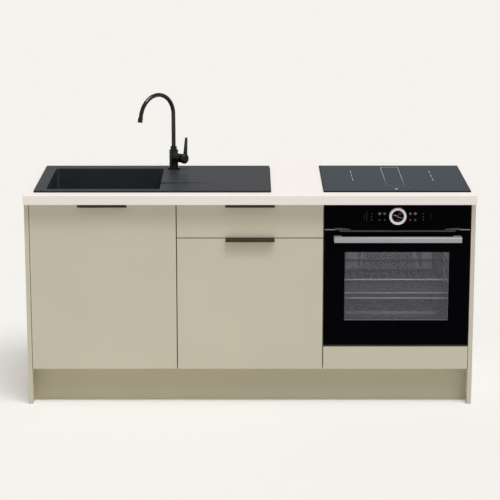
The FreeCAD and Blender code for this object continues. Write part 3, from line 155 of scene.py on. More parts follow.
def laminate(name, colour):
    """Smooth worktop laminate with a very fine grain."""
    look = Shader(name, colour, 0.42, specular=0.4)
    look.tint(look.noise(1.6, 3.0), shade(colour, 0.975), 1.0, 0.35, 0.7)
    look.tint(look.noise(1400, 3.0, 0.7), shade(colour, 0.90), 0.45, 0.5, 0.75)
    look.gloss(look.noise(35, 3.0), 0.36, 0.48)
    look.bump(look.noise(800, 2.0), 0.12, 0.0003)
    return look.material


def board(name, colour):
    """Melamine-faced board."""
    look = Shader(name, colour, 0.5, specular=0.35)
    look.tint(look.noise(60, 4.0, stretch=(1, 1, 6)), shade(colour, 0.93), 0.7, 0.4, 0.7)
    look.tint(look.noise(1100, 2.0), shade(colour, 0.9), 0.4, 0.5, 0.7)
    look.gloss(look.noise(40, 3.0), 0.42, 0.58)
    look.bump(look.noise(700, 3.0), 0.2, 0.0003)
    return look.material


def granite(name, colour):
    """Black quartz composite: tiny lighter and darker grains and a finely pitted satin face."""
    look = Shader(name, colour, 0.5, specular=0.17)
    look.tint(look.noise(1300, 4.0, 0.75), shade(colour, 2.4), 0.75, 0.52, 0.72)
    look.tint(look.cells(1500), shade(colour, 0.35), 0.55, 0.5, 0.9)
    look.tint(look.noise(5, 3.0), shade(colour, 1.25), 0.6, 0.35, 0.7)
    look.gloss(look.noise(900, 3.0), 0.32, 0.48)
    look.bump(look.noise(1200, 4.0, 0.7), 0.35, 0.0004)
    return look.material


def brushed(name, colour, roughness, stretch, specular=0.5, metallic=1.0):
    """Fine brushed metal. Its hairlines run along the axis on which stretch is small."""
    look = Shader(name, colour, roughness, metallic=metallic, specular=specular)
    look.tint(look.noise(900, 3.0, stretch=stretch), shade(colour, 0.78), 0.7, 0.4, 0.7)
    look.tint(look.noise(9, 3.0), shade(colour, 0.92), 0.6, 0.35, 0.7)
    look.gloss(look.noise(700, 3.0, stretch=stretch), roughness - 0.06, roughness + 0.08)
    look.bump(look.noise(1000, 2.0, stretch=stretch), 0.16, 0.0002)
    return look.material


def coated(name, colour, roughness, specular=0.5, grain=1400, metallic=0.0):
    """Powder coat, satin paint or a fine cast surface."""
    look = Shader(name, colour, roughness, metallic=metallic, specular=specular)
    look.tint(look.noise(7, 3.0), shade(colour, 1.18), 0.6, 0.35, 0.7)
    look.tint(look.noise(grain, 3.0), shade(colour, 0.8), 0.4, 0.5, 0.7)
    look.gloss(look.noise(60, 3.0), roughness - 0.06, roughness + 0.07)
    look.bump(look.noise(grain, 3.0), 0.22, 0.0003)
    return look.material


def enamel(name, colour):
    """Fired enamel with tiny pale flecks."""
    look = Shader(name, colour, 0.26, specular=0.5, Coat_Weight=0.25, Coat_Roughness=0.12)
    look.tint(look.cells(420), shade(colour, 1.7), 0.8, 0.16, 0.04)
    look.tint(look.noise(6, 3.0), shade(colour, 1.2), 0.7, 0.35, 0.7)
    look.gloss(look.noise(45, 3.0), 0.2, 0.34)
    look.bump(look.noise(120, 3.0), 0.07, 0.0006)
    return look.material


def black_glass(name, colour, specular, roughness, **more):
    """Glass over black print: faint smears in the gloss and a trace of dust."""
    look = Shader(name, colour, roughness, specular=specular, **more)
    look.tint(look.noise(1600, 2.0), shade(colour, 2.2), 0.35, 0.66, 0.8)
    look.gloss(look.noise(9, 4.0, 0.6), roughness, roughness + 0.05, 0.45, 0.75)
    return look.material


def clear_glass(name, colour, alpha, specular=0.5):
    """A clear pane: mostly see-through, with faint wiping marks in its gloss."""
    look = Shader(name, colour, 0.02, specular=specular, Alpha=alpha)
    look.tint(look.noise(30, 3.0), shade(colour, 0.9), 0.5, 0.4, 0.7)
    look.gloss(look.noise(7, 4.0), 0.02, 0.07, 0.5, 0.75)
    look.material.surface_render_method = "DITHERED"
    return look.material


def plastic(name, colour, roughness):
    """Moulded plastic or rubber."""
    look = Shader(name, colour, roughness, specular=0.45)
    look.tint(look.noise(12, 3.0), shade(colour, 1.15), 0.6, 0.35, 0.7)
    look.gloss(look.noise(80, 3.0), roughness - 0.05, roughness + 0.08)
    look.bump(look.noise(1500, 2.0), 0.15, 0.0003)
    return look.material


def wool(name, colour):
    """Mineral wool: matted fibres."""
    look = Shader(name, colour, 0.95, specular=0.1)
    look.tint(look.noise(160, 6.0, 0.7, stretch=(1, 1, 4)), shade(colour, 0.6), 0.9, 0.35, 0.65)
    look.tint(look.noise(900, 3.0), shade(colour, 1.3), 0.6, 0.5, 0.7)
    look.bump(look.noise(260, 6.0, 0.7, stretch=(1, 1, 4)), 0.9, 0.002)
    return look.material


def copper(name, colour):
    """Coil wire: its turns show as fine ribs."""
    look = Shader(name, colour, 0.3, metallic=1.0)
    look.tint(look.noise(40, 3.0), shade(colour, 0.7), 0.7, 0.35, 0.7)
    look.gloss(look.noise(300, 3.0), 0.24, 0.4)
    look.bump(look.waves(180, "DIAGONAL"), 0.5, 0.0006)
    return look.material


def paint(name, colour, roughness=0.4, glow=0.0):
    """Screen print: a little uneven in tone, like ink on glass."""
    look = Shader(name, colour, roughness, specular=0.3)
    look.tint(look.noise(1500, 2.0), shade(colour, 0.8), 0.6, 0.4, 0.7)
    if glow:
        look.core.inputs["Emission Color"].default_value = (*colour, 1)
        look.core.inputs["Emission Strength"].default_value = glow
    return look.material


# The stretch of hairlines: none, along x and along y
EVEN = (1, 1, 1)
ALONG_X = (0.3, 8, 8)
ALONG_Y = (8, 0.4, 8)

FRONT = (0.578, 0.538, 0.427)
MATERIALS = {
    "worktop_laminate": laminate("worktop_laminate", (0.855, 0.815, 0.770)),
    "panel_lacquer": lacquer("panel_lacquer", FRONT),
    "front_lacquer": lacquer("front_lacquer", FRONT),
    # The plinth's lacquer is the fronts' lacquer made darker and warmer: painted shade for the
    # plinth's recess under the fronts
    "plinth_lacquer": lacquer("plinth_lacquer", (0.521, 0.469, 0.337)),
    "carcass_board": board("carcass_board", (0.78, 0.77, 0.74)),
    "drawer_board": board("drawer_board", (0.60, 0.60, 0.59)),
    "drawer_metal": coated("drawer_metal", (0.50, 0.51, 0.52), 0.42),
    "runner_steel": brushed("runner_steel", (0.60, 0.61, 0.62), 0.34, ALONG_Y),
    "foot_plastic": plastic("foot_plastic", (0.025, 0.025, 0.027), 0.45),
    "pull_metal": brushed(
        "pull_metal", (0.050, 0.040, 0.021), 0.5, (0.4, 8, 8), specular=0.12, metallic=0.0,
    ),
    "sink_composite": granite("sink_composite", (0.030, 0.0325, 0.0375)),
    "waste_steel": brushed("waste_steel", (0.62, 0.62, 0.62), 0.22, EVEN),
    "trap_plastic": plastic("trap_plastic", (0.78, 0.78, 0.76), 0.32),
    "tap_black": coated("tap_black", (0.0055, 0.0055, 0.005), 0.22, specular=0.5, grain=2200),
    "hob_glass": black_glass(
        "hob_glass", (0.0022, 0.0145, 0.0265), 0.080, 0.10, Specular_Tint=(0.8, 0.95, 1.0, 1.0),
    ),
    "casing_steel": brushed("casing_steel", (0.52, 0.53, 0.54), 0.4, EVEN),
    "coil_copper": copper("coil_copper", (0.62, 0.30, 0.17)),
    "oven_black_metal": coated("oven_black_metal", (0.012, 0.012, 0.013), 0.4),
    "oven_enamel": enamel("oven_enamel", (0.20, 0.20, 0.215)),
    "mineral_wool": wool("mineral_wool", (0.60, 0.54, 0.40)),
    "seal_rubber": plastic("seal_rubber", (0.02, 0.02, 0.02), 0.7),
    "oven_black_glass": black_glass("oven_black_glass", (0.0010, 0.0009, 0.0018), 0.012, 0.06),
    "door_frame": coated("door_frame", (0.012, 0.012, 0.013), 0.4),
    "inner_glass": clear_glass("inner_glass", (0.5, 0.5, 0.52), 0.10),
    "handle_steel": brushed("handle_steel", (0.405, 0.405, 0.43), 0.36, ALONG_X, metallic=0.45),
    "rack_chrome": brushed("rack_chrome", (0.80, 0.83, 0.88), 0.3, EVEN, metallic=0.35),
    "pan_enamel": enamel("pan_enamel", (0.06, 0.06, 0.065)),
    "motor_iron": coated("motor_iron", (0.22, 0.22, 0.22), 0.55, metallic=0.8),
}
BLACK_RUBBER = coated("hob_edge_rubber", (0.003, 0.003, 0.003), 0.6, specular=0.08)


# Dressing the solids
BEVEL_ANGLE = math.radians(40)  # an edge sharper than this is rounded
SHARP_ANGLE = math.radians(35)  # a new piece's faces are smooth up to this
WELD_REACH = 0.00002


def round_edges(piece, width, segments, miter):
    rounding = piece.modifiers.new("rounding", "BEVEL")
    rounding.width = width
    rounding.segments = segments
    rounding.limit_method = "ANGLE"
    rounding.angle_limit = BEVEL_ANGLE
    rounding.harden_normals = True
    rounding.miter_outer = miter


def dress(node, material, bevel):
    """Gives a solid its material and, where it has sharp made edges, a small rounding."""
    piece = NODES[node]
    piece.data.materials.clear()
    piece.data.materials.append(material)
    if bevel:
        weld = piece.modifiers.new("weld", "WELD")
        weld.merge_threshold = WELD_REACH
        round_edges(piece, bevel, 3, "MITER_ARC")


BEVELS = {
    "worktop": 0.0012,
    "end_panel_left": 0.0008,
    "end_panel_right": 0.0008,
    "plinth_board": 0.0006,
    "sink_unit_sides": 0.0004,
    "sink_unit_bottom": 0.0004,
    "drawer_unit_sides": 0.0004,
    "drawer_unit_bottom": 0.0004,
    "oven_unit_sides": 0.0004,
    "oven_unit_bottom": 0.0004,
    "oven_unit_shelf": 0.0004,
    "oven_unit_filler": 0.0008,
    "sink_pullout_front": 0.0009,
    "top_drawer_front": 0.0009,
    "pan_drawer_front": 0.0009,
    "sink_pullout_handle": 0.0005,
    "top_drawer_handle": 0.0005,
    "pan_drawer_handle": 0.0005,
    "sink_pullout_base": 0.0004,
    "top_drawer_base": 0.0004,
    "pan_drawer_base": 0.0004,
    "hob_glass": 0.0012,
    "oven_control_panel": 0.0008,
    "oven_control_ring": 0.0012,
    "oven_door_frame": 0.0008,
    "oven_casing": 0.0004,
    "oven_baking_pan": 0.0006,
    "sink_basin": 0.0022,
    "tap_lever": 0.0016,
    "tap_body": 0.0012,
    "oven_door_handle": 0.0004,
}
# Nodes that look different from the rest of their slot
LOOKS = {
    "unit_back_panels": board("back_board", (0.66, 0.65, 0.62)),
    "oven_control_ring": brushed("ring_steel", (0.80, 0.80, 0.83), 0.32, EVEN, metallic=0.3),
    "oven_wire_shelf": brushed("shelf_steel", (0.095, 0.095, 0.101), 0.4, EVEN, metallic=0.2),
}
for node in NODES:
    dress(node, LOOKS.get(node, MATERIALS[SLOTS[node]]), BEVELS.get(node))


# Shapes of new pieces
def finish_piece(name, shape, material, body, bevel=None):
    """Turns a bmesh into a piece that rides on its body."""
    bmesh.ops.recalc_face_normals(shape, faces=shape.faces)
    mesh = bpy.data.meshes.new(name)
    shape.to_mesh(mesh)
    shape.free()
    mesh.materials.append(material)
    piece = bpy.data.objects.new(name, mesh)
    bpy.context.scene.collection.objects.link(piece)
    if bevel:
        round_edges(piece, bevel, 2, "MITER_SHARP")
    for face in mesh.polygons:
        face.use_smooth = True
    mesh.set_sharp_from_angle(angle=SHARP_ANGLE)
    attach(piece, body)
    return piece


def bridge(shape, loops, pairs):
    """Faces between closed loops that have equally many points."""
    count = len(loops[0])
    for index in range(count):
        step = (index + 1) % count
        for a, b in pairs:
            shape.faces.new((loops[a][index], loops[a][step], loops[b][step], loops[b][index]))


# The four sides of a ring, from its loops: outer and inner in front, outer and inner behind
RING_SIDES = ((0, 1), (3, 2), (1, 3), (2, 0))
# The six sides of a box, whose corners go through z, then y, then x
BOX_SIDES = ((0, 1, 3, 2), (4, 6, 7, 5), (0, 4, 5, 1), (2, 3, 7, 6), (0, 2, 6, 4), (1, 5, 7, 3))


def boxes(name, spans, material, body, bevel=None):
    """One piece made of several blocks, each given by its two corners."""
    shape = bmesh.new()
    for low, high in spans:
        corners = [
            shape.verts.new((x, y, z))
            for x in (low[0], high[0]) for y in (low[1], high[1]) for z in (low[2], high[2])
        ]
        for side in BOX_SIDES:
            shape.faces.new([corners[index] for index in side])
    return finish_piece(name, shape, material, body, bevel)


def plates(name, outlines, front, back, material, body, bevel=None):
    """Upright flat pieces, each given by its outline of (x, z) points."""
    shape = bmesh.new()
    for outline in outlines:
        near = [shape.verts.new((x, front, z)) for x, z in outline]
        far = [shape.verts.new((x, back, z)) for x, z in outline]
        shape.faces.new(near)
        shape.faces.new(far)
        bridge(shape, (near, far), ((0, 1),))
    return finish_piece(name, shape, material, body, bevel)


def rods(name, runs, radius, material, body):
    """Round bars, each from one point to another."""
    shape = bmesh.new()
    for start, end in runs:
        start, end = Vector(start), Vector(end)
        made = bmesh.ops.create_cone(
            shape, cap_ends=True, segments=12, radius1=radius, radius2=radius,
            depth=(end - start).length,
        )
        turn = (end - start).to_track_quat("Z", "Y")
        for vert in made["verts"]:
            vert.co = turn @ vert.co + (start + end) / 2
    return finish_piece(name, shape, material, body)


def circle(x, z, radius, sides):
    """The (x, z) points of a circle."""
    turns = (2 * math.pi * step / sides for step in range(sides))
    return [(x + radius * math.cos(turn), z + radius * math.sin(turn)) for turn in turns]


def hoops(name, spots, outer, inner, front, back, material, body):
    """Small flat upright rings, each round its (x, z) spot."""
    shape = bmesh.new()
    for x, z in spots:
        bridge(shape, [
            [shape.verts.new((across, y, up)) for across, up in circle(x, z, radius, 24)]
            for y, radius in ((front, outer), (front, inner), (back, outer), (back, inner))
        ], RING_SIDES)
    return finish_piece(name, shape, material, body)


def ring_plate(name, outer, inner, front, back, material, body, bevel):
    """An upright plate with a rectangular window: outer and inner are x0, x1, z0, z1."""
    shape = bmesh.new()
    bridge(shape, [
        [shape.verts.new((x, y, z)) for x, z in ((x0, z0), (x1, z0), (x1, z1), (x0, z1))]
        for y in (front, back) for x0, x1, z0, z1 in (outer, inner)
    ], RING_SIDES)
    return finish_piece(name, shape, material, body, bevel)


def discs(name, spots, radius, depth, axis, material, body, sides):
    """Small round marks, each centred on its spot, with their axis along y or z."""
    shape = bmesh.new()
    for spot in spots:
        made = bmesh.ops.create_cone(
            shape, cap_ends=True, segments=sides, radius1=radius, radius2=radius, depth=depth,
        )
        for vert in made["verts"]:
            x, y, z = vert.co
            if axis == "y":
                vert.co = (x, -z, y)
            vert.co += Vector(spot)
    return finish_piece(name, shape, material, body)


CORNER_STEPS = 6
BEAD_SINK, BEAD_LAP = 0.0001, 0.0003  # how far a bead reaches into its ground and into its edge


def sealant_bead(name, low, high, ground, corner, width, height, material, body, slot):
    """A three-sided bead with rounded corners, on level ground against an upright edge."""
    spine = []
    for cx, cy, turn in (
        (high.x - corner, high.y - corner, 0), (low.x + corner, high.y - corner, 90),
        (low.x + corner, low.y + corner, 180), (high.x - corner, low.y + corner, 270),
    ):
        for step in range(CORNER_STEPS + 1):
            angle = math.radians(turn + 90 / CORNER_STEPS * step)
            spine.append((cx, cy, math.cos(angle), math.sin(angle)))
    foot = ground - BEAD_SINK
    shape = bmesh.new()
    bridge(shape, [
        [
            shape.verts.new((cx + (corner + reach) * dx, cy + (corner + reach) * dy, z))
            for cx, cy, dx, dy in spine
        ]
        for reach, z in ((-BEAD_LAP, foot), (width, foot), (-BEAD_LAP, ground + height))
    ], ((0, 1), (1, 2), (2, 0)))
    return finish_piece(name, shape, material, body)


# Oven door

# One outer pane, printed black round its window
glass_low, glass_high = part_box("oven_door_glass")
OVEN_FACE = glass_low.y
OVEN_MIDDLE = (glass_low.x + glass_high.x) / 2
WINDOW_X = (0.387, 0.813)
WINDOW_Z = (0.360, 0.650)
BORDER_BEVEL = 0.0006
PANE_RECESS = 0.0004
border = ring_plate(
    "door_black_border",
    (glass_low.x, glass_high.x, glass_low.z, glass_high.z), (*WINDOW_X, *WINDOW_Z),
    OVEN_FACE, glass_high.y, MATERIALS["oven_black_glass"], "oven_door", BORDER_BEVEL,
)
boxes(
    "door_window_pane",
    [(
        (WINDOW_X[0], OVEN_FACE + PANE_RECESS, WINDOW_Z[0]),
        (WINDOW_X[1], glass_high.y, WINDOW_Z[1]),
    )],
    clear_glass("window_glass", (0.100, 0.100, 0.117), 0.35, specular=0.25),
    "oven_door",
)
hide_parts("oven_door_glass")

# Painted highlights along the window's bottom and right side: light grey strips behind the pane
# that stand in for the glint where the panes' cut edges catch the light
HIGHLIGHT_WIDTH = 0.0022
HIGHLIGHT_BACK = glass_high.y + 0.006
boxes(
    "window_painted_highlight",
    [
        ((WINDOW_X[0], glass_high.y, WINDOW_Z[0]), (WINDOW_X[1], HIGHLIGHT_BACK, WINDOW_Z[0] + HIGHLIGHT_WIDTH)),
        ((WINDOW_X[1] - HIGHLIGHT_WIDTH, glass_high.y, WINDOW_Z[0]), (WINDOW_X[1], HIGHLIGHT_BACK, WINDOW_Z[1])),
    ],
    coated("pane_edge_painted_highlight", srgb(160, 166, 178), 0.3, grain=900), "oven_door",
)

# Trim round the gap between the control panel and the door, and a dark strip along the door's top
# that is a painted reflection of the handle bar's top
TRIM = brushed("trim_steel", (0.30, 0.30, 0.31), 0.4, ALONG_X, metallic=0.6)
DARK_TRIM_AND_REFLECTION = coated("dark_trim_and_painted_reflection", (0.045, 0.045, 0.048), 0.4)
TRIM_BEVEL = 0.0003
END_TRIM = [(0.3045, 0.7426), (0.346, 0.7426), (0.346, 0.7462), (0.3045, 0.7462)]
END_CAP = [(0.345, 0.7428), (0.412, 0.7428), (0.404, 0.7478), (0.372, 0.7508), (0.345, 0.7508)]
HANDLE_REFLECTION_STRIP = [(0.366, 0.7352), (0.834, 0.7352), (0.838, 0.7412), (0.362, 0.7412)]


def both_sides(outline):
    """The outline and its mirror image about the middle of the oven."""
    return [outline, [(2 * OVEN_MIDDLE - x, z) for x, z in outline]]


# Each trim's name and outlines, its front and back from the oven's face, its look and its body
TRIMS = (
    ("panel_end_trim", both_sides(END_TRIM), -0.0008, 0.012, TRIM, "carcass"),
    ("panel_end_caps", both_sides(END_CAP), -0.0012, 0.003, DARK_TRIM_AND_REFLECTION, "carcass"),
    # The door's top strip is a painted reflection: a dark strip standing in for the handle bar's
    # top mirrored in the glass
    ("door_painted_handle_reflection", [HANDLE_REFLECTION_STRIP], -0.0006, 0.001, DARK_TRIM_AND_REFLECTION, "oven_door"),
)
for name, outlines, front, back, look, body in TRIMS:
    plates(name, outlines, OVEN_FACE + front, OVEN_FACE + back, look, body, TRIM_BEVEL)

# Control panel

# Printed marks: fine dots, a line and small touch keys
PRINT = paint("print_grey", srgb(150, 152, 156))
PRINT_DIM = paint("print_dim", srgb(70, 72, 78))
RED = paint("print_red", srgb(170, 40, 50), glow=0.2)
GREEN = paint("print_green", srgb(40, 130, 90), glow=0.2)
PRINT_FRONT = OVEN_FACE - 0.00015
PRINT_BACK = OVEN_FACE + 0.00005
UPPER, MIDDLE_ROW, LOWER = 0.8110, 0.7976, 0.7850
DOT_X, DOT_RADIUS = (0.4942, 0.7041), 0.0023
OUTER_DOT_X, OUTER_DOT_RADIUS = (0.4642, 0.7337), 0.0014
OUTER_UPPER, OUTER_LOWER = 0.8075, 0.7885
PANEL_LINE = (0.4741, 0.4750, 0.7780, 0.8225)
KEYS = [(x, UPPER) for x in (0.5267, 0.5466, 0.6511, 0.6717)]
KEY_OUTER, KEY_INNER, KEY_POINT = 0.0046, 0.0031, 0.0012
LOWER_KEYS = (
    ("dim_left", 0.5258, PRINT_DIM), ("dim_right", 0.5480, PRINT_DIM),
    ("red", 0.6511, RED), ("green", 0.6717, GREEN),
)
TOOTH_REACH, TOOTH = 0.0052, 0.0008
TOOTH_TURNS = ((1, 0), (-1, 0), (0, 1), (0, -1), (0.7, 0.7), (-0.7, 0.7), (0.7, -0.7), (-0.7, -0.7))
# The bars of a lower key: half width, and bottom and top above the row
KEY_BARS = ((0.0046, -0.0008, 0.0008), (0.0030, 0.0022, 0.0036), (0.0008, -0.0042, -0.0008))


def dots(name, places, radius, material):
    plates(name, [circle(x, z, radius, 12) for x, z in places],
           PRINT_FRONT, PRINT_BACK, material, "carcass")


def bars(name, spans, material):
    plates(name, [[(x0, z0), (x1, z0), (x1, z1), (x0, z1)] for x0, x1, z0, z1 in spans],
           PRINT_FRONT, PRINT_BACK, material, "carcass")


dots("panel_dots", [(x, z) for x in DOT_X for z in (UPPER, MIDDLE_ROW, LOWER)],
     DOT_RADIUS, PRINT_DIM)
dots("panel_outer_dots",
     [(x, z) for x in OUTER_DOT_X for z in (OUTER_UPPER, MIDDLE_ROW, OUTER_LOWER)],
     OUTER_DOT_RADIUS, PRINT_DIM)
bars("panel_line", [PANEL_LINE], PRINT_DIM)
hoops("panel_key_rings", KEYS, KEY_OUTER, KEY_INNER, PRINT_FRONT, PRINT_BACK, PRINT, "carcass")
dots("panel_key_points", KEYS, KEY_POINT, PRINT)
teeth = [
    (x + TOOTH_REACH * dx, z + TOOTH_REACH * dz)
    for x, z in (KEYS[0], KEYS[-1]) for dx, dz in TOOTH_TURNS
]
bars("panel_key_teeth", [(x - TOOTH, x + TOOTH, z - TOOTH, z + TOOTH) for x, z in teeth], PRINT)
for key, x, ink in LOWER_KEYS:
    bars(f"panel_key_{key}",
         [(x - half, x + half, LOWER + bottom, LOWER + top) for half, bottom, top in KEY_BARS], ink)

# The round display's read-out: generic strokes
DISPLAY_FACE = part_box("oven_control_panel")[0].y
STROKE_FRONT, STROKE_BACK = DISPLAY_FACE - 0.00015, DISPLAY_FACE + 0.0001
DISPLAY_LINES = [
    [(0.5828, 0.8040), (0.6040, 0.8010), (0.6040, 0.8028), (0.5868, 0.8096)],
    [(0.5950, 0.7966), (0.6205, 0.7936), (0.6205, 0.7962), (0.6010, 0.7990)],
]
DISPLAY_PATCH = [
    [(0.6010, 0.8100), (0.6140, 0.8080), (0.6120, 0.8165), (0.6040, 0.8175)],
    [(0.5900, 0.7840), (0.6100, 0.7840), (0.6070, 0.7868), (0.5930, 0.7868)],
]
for name, strokes, ink in (
    ("display_lines", DISPLAY_LINES, ("display_read_out", srgb(120, 134, 140))),
    ("display_patch", DISPLAY_PATCH, ("display_red", srgb(110, 26, 48))),
):
    plates(name, strokes, STROKE_FRONT, STROKE_BACK,
           paint(*ink, roughness=0.2, glow=0.05), "carcass")

# Inside the oven

# The fan's perforated guard and the pressed pads beside it
cover_low, cover_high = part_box("oven_fan_cover")
fan_low, fan_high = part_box("oven_fan_wheel")
FAN_X, FAN_Z = (fan_low.x + fan_high.x) / 2, (fan_low.z + fan_high.z) / 2
GUARD_FRONT = cover_low.y - 0.0012
COVER_SEAT = cover_low.y + 0.0002
GUARD_FOOT, GUARD_HEAD = cover_low.z + 0.002, cover_high.z - 0.002
GUARD = [
    (0.4775, GUARD_FOOT), (0.7240, GUARD_FOOT), (0.6720, GUARD_HEAD), (0.5030, GUARD_HEAD),
]
GUARD_BEVEL = 0.0006
HOLE_RINGS, RING_PITCH, HOLE_PITCH = 7, 0.0137, 0.0128
HOLE_RADIUS, HOLE_DEPTH, HOLE_MARGIN = 0.0039, 0.0003, 0.007
plates("fan_guard", [GUARD], GUARD_FRONT, COVER_SEAT,
       enamel("oven_enamel_guard", (0.27, 0.27, 0.29)), "carcass", GUARD_BEVEL)
holes = []
for ring in range(1, HOLE_RINGS + 1):
    radius = ring * RING_PITCH
    count = round(2 * math.pi * radius / HOLE_PITCH)
    for step in range(count):
        angle = 2 * math.pi * (step + 0.5 * (ring % 2)) / count
        x, z = FAN_X + radius * math.cos(angle), FAN_Z + radius * math.sin(angle)
        if cover_low.z + HOLE_MARGIN < z < cover_high.z - HOLE_MARGIN:
            holes.append((x, GUARD_FRONT, z))
# The holes are near-black discs on the guard's face: painted shade where open holes would look dark
discs("fan_guard_holes", holes, HOLE_RADIUS, HOLE_DEPTH, "y",
      coated("guard_hole_painted_shade", (0.01, 0.01, 0.011), 0.6), "carcass", 10)
PAD_LOW, PAD_HIGH = 0.4715, 0.6340
PAD_FRONT = cover_low.y - 0.003
PAD_BEVEL = 0.0014
# Each pad's left and right at its foot, then right and left at its head
PADS = (
    (0.4140, 0.4650, 0.4650, 0.4140),
    (0.7410, 0.7840, 0.7840, 0.7410),
    (0.4700, 0.4785, 0.5040, 0.4950),
    (0.7230, 0.7360, 0.6840, 0.6710),
)
plates(
    "fan_cover_pads",
    [[(a, PAD_LOW), (b, PAD_LOW), (c, PAD_HIGH), (d, PAD_HIGH)] for a, b, c, d in PADS],
    PAD_FRONT, COVER_SEAT, enamel("oven_enamel_pale", (0.44, 0.44, 0.47)),
    "carcass", PAD_BEVEL,
)

# The pan's rolled rims, the shelf's front rail and the press in the cavity's floor, all painted
# light: they are far paler than the dark pan, shelf and cavity enamel they belong to, as painted
# highlights and a painted sheen
RAIL_PAINTED_HIGHLIGHT = brushed("rail_painted_highlight", (0.50, 0.52, 0.55), 0.3, EVEN, metallic=0.3)
RIM_PAINTED_HIGHLIGHT = brushed("rim_painted_highlight", (0.95, 0.97, 1.0), 0.35, EVEN, metallic=0.1)
pan_low, pan_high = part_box("oven_baking_pan")
RIM_LEFT, RIM_RIGHT, RIM_Y = pan_low.x + 0.002, pan_high.x - 0.002, pan_low.y - 0.0010
# The rims are near-white rods along the dark pan's front edges: painted highlights
for name, z, radius in (
    ("pan_rim", pan_high.z - 0.001, 0.0021), ("pan_foot_rim", pan_low.z + 0.0024, 0.0030),
):
    rods(name, [((RIM_LEFT, RIM_Y, z), (RIM_RIGHT, RIM_Y, z))], radius, RIM_PAINTED_HIGHLIGHT,
         "carcass")
shelf_low, shelf_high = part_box("oven_wire_shelf")
SHELF_ROD = (shelf_high.z - shelf_low.z) / 2
RAIL_RADIUS = SHELF_ROD + 0.0003
RAIL_Y, RAIL_Z = shelf_low.y + SHELF_ROD, shelf_low.z + SHELF_ROD
# The front rail is a sleeve round the shelf's front wire in a far paler steel than the dark shelf:
# a painted highlight
rods(
    "shelf_front_rail",
    [((shelf_low.x + SHELF_ROD, RAIL_Y, RAIL_Z), (shelf_high.x - SHELF_ROD, RAIL_Y, RAIL_Z))],
    RAIL_RADIUS, RAIL_PAINTED_HIGHLIGHT, "carcass",
)
PRESS_X, PRESS_Y, PRESS_Z = (0.406, 0.789), (-0.074, -0.040), (0.3262, 0.3285)
PRESS_BEVEL = 0.0009
# The press is a far paler enamel than the cavity round it: a painted sheen standing in for a light
# band on the cavity's floor
boxes("cavity_floor_press", [tuple(zip(PRESS_X, PRESS_Y, PRESS_Z))],
      enamel("floor_press_painted_sheen", (0.66, 0.68, 0.70)), "carcass", PRESS_BEVEL)

# Carcass

# Edge bands on the front edges of the boards, in a dark shade of the fronts' lacquer: painted shade
# that darkens the gaps between the fronts
BOARD = 0.016
UNIT_WIDTH = 0.600
UNIT_EDGES = (-0.900, -0.300, 0.300)
BAND_MARGIN = 0.0002
side_low, side_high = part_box("oven_unit_sides")
BAND_FRONT, BAND_BACK = side_low.y - 0.0004, side_low.y + 0.0001
BAND_LOW, BAND_HIGH = side_low.z + 0.0005, side_high.z - 0.0005
bands = []
for left in UNIT_EDGES:
    right = left + UNIT_WIDTH - BOARD
    for x in (left, right):
        bands.append((
            (x + BAND_MARGIN, BAND_FRONT, BAND_LOW),
            (x + BOARD - BAND_MARGIN, BAND_BACK, BAND_HIGH),
        ))
    bands.append(((left + BOARD, BAND_FRONT, BAND_LOW), (right, BAND_BACK, side_low.z + BOARD)))
# Painted shade: the bands are the fronts' lacquer at about a third of its tone, so the gaps between
# the fronts look dark
boxes("carcass_edge_bands", bands, lacquer("band_lacquer_painted_shade", shade(FRONT, 0.35)), "carcass")

# Behind the oven

# A pressed frame, louvres, the terminal cover and the screws with their washers
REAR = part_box("oven_casing")[1].y
REAR_SEAT = REAR - 0.0003
# The frame's outside and inside, each as left, right, bottom and top
FRAME_OUTER, FRAME_INNER = (0.330, 0.870, 0.290, 0.780), (0.342, 0.858, 0.302, 0.768)
FRAME_BACK = REAR + 0.0022
ring_plate(
    "oven_rear_press", FRAME_OUTER, FRAME_INNER, REAR_SEAT, FRAME_BACK,
    MATERIALS["oven_black_metal"], "carcass", PRESS_BEVEL,
)
LOUVRE_WIDTH, LOUVRE_HEIGHT, LOUVRE_PITCH = 0.120, 0.0055, 0.014
LOUVRE_BACK, LOUVRE_BEVEL = REAR + 0.0045, 0.0018
# Each field's lowest louvre, its number of rows and the left edges of its columns
LOUVRE_FIELDS = ((0.640, 7, (0.385, 0.530, 0.675)), (0.325, 4, (0.385, 0.530)))
louvres = []
for bottom, rows, columns in LOUVRE_FIELDS:
    for z in (bottom + LOUVRE_PITCH * row for row in range(rows)):
        for left in columns:
            louvres.append(
                ((left, REAR_SEAT, z), (left + LOUVRE_WIDTH, LOUVRE_BACK, z + LOUVRE_HEIGHT))
            )
boxes("oven_rear_louvres", louvres, coated("louvre_steel", (0.05, 0.05, 0.052), 0.4, metallic=0.4),
      "carcass", LOUVRE_BEVEL)
TERMINAL_X, TERMINAL_Y, TERMINAL_Z = (0.700, 0.800), (REAR_SEAT, REAR + 0.016), (0.320, 0.385)
TERMINAL_BEVEL = 0.004
TERMINAL_SCREW = (0.750, REAR + 0.0164, 0.3525)
boxes("oven_terminal_cover", [tuple(zip(TERMINAL_X, TERMINAL_Y, TERMINAL_Z))],
      plastic("terminal_plastic", (0.03, 0.03, 0.033), 0.5), "carcass", TERMINAL_BEVEL)
SCREW = brushed("screw_zinc", (0.62, 0.62, 0.60), 0.3, EVEN)
SCREW_COLUMNS, SCREW_ROWS, SCREW_MIDDLE_ROW = (0.318, 0.600, 0.882), (0.268, 0.800), 0.535
SCREW_RADIUS, SCREW_DEPTH, SCREW_Y = 0.0042, 0.0020, REAR + 0.0008
WASHER_OUTER, WASHER_INNER = 0.0070, 0.0040
WASHER_FRONT, WASHER_BACK = REAR - 0.0002, REAR + 0.0006
screws = [(x, z) for x in SCREW_COLUMNS for z in SCREW_ROWS]
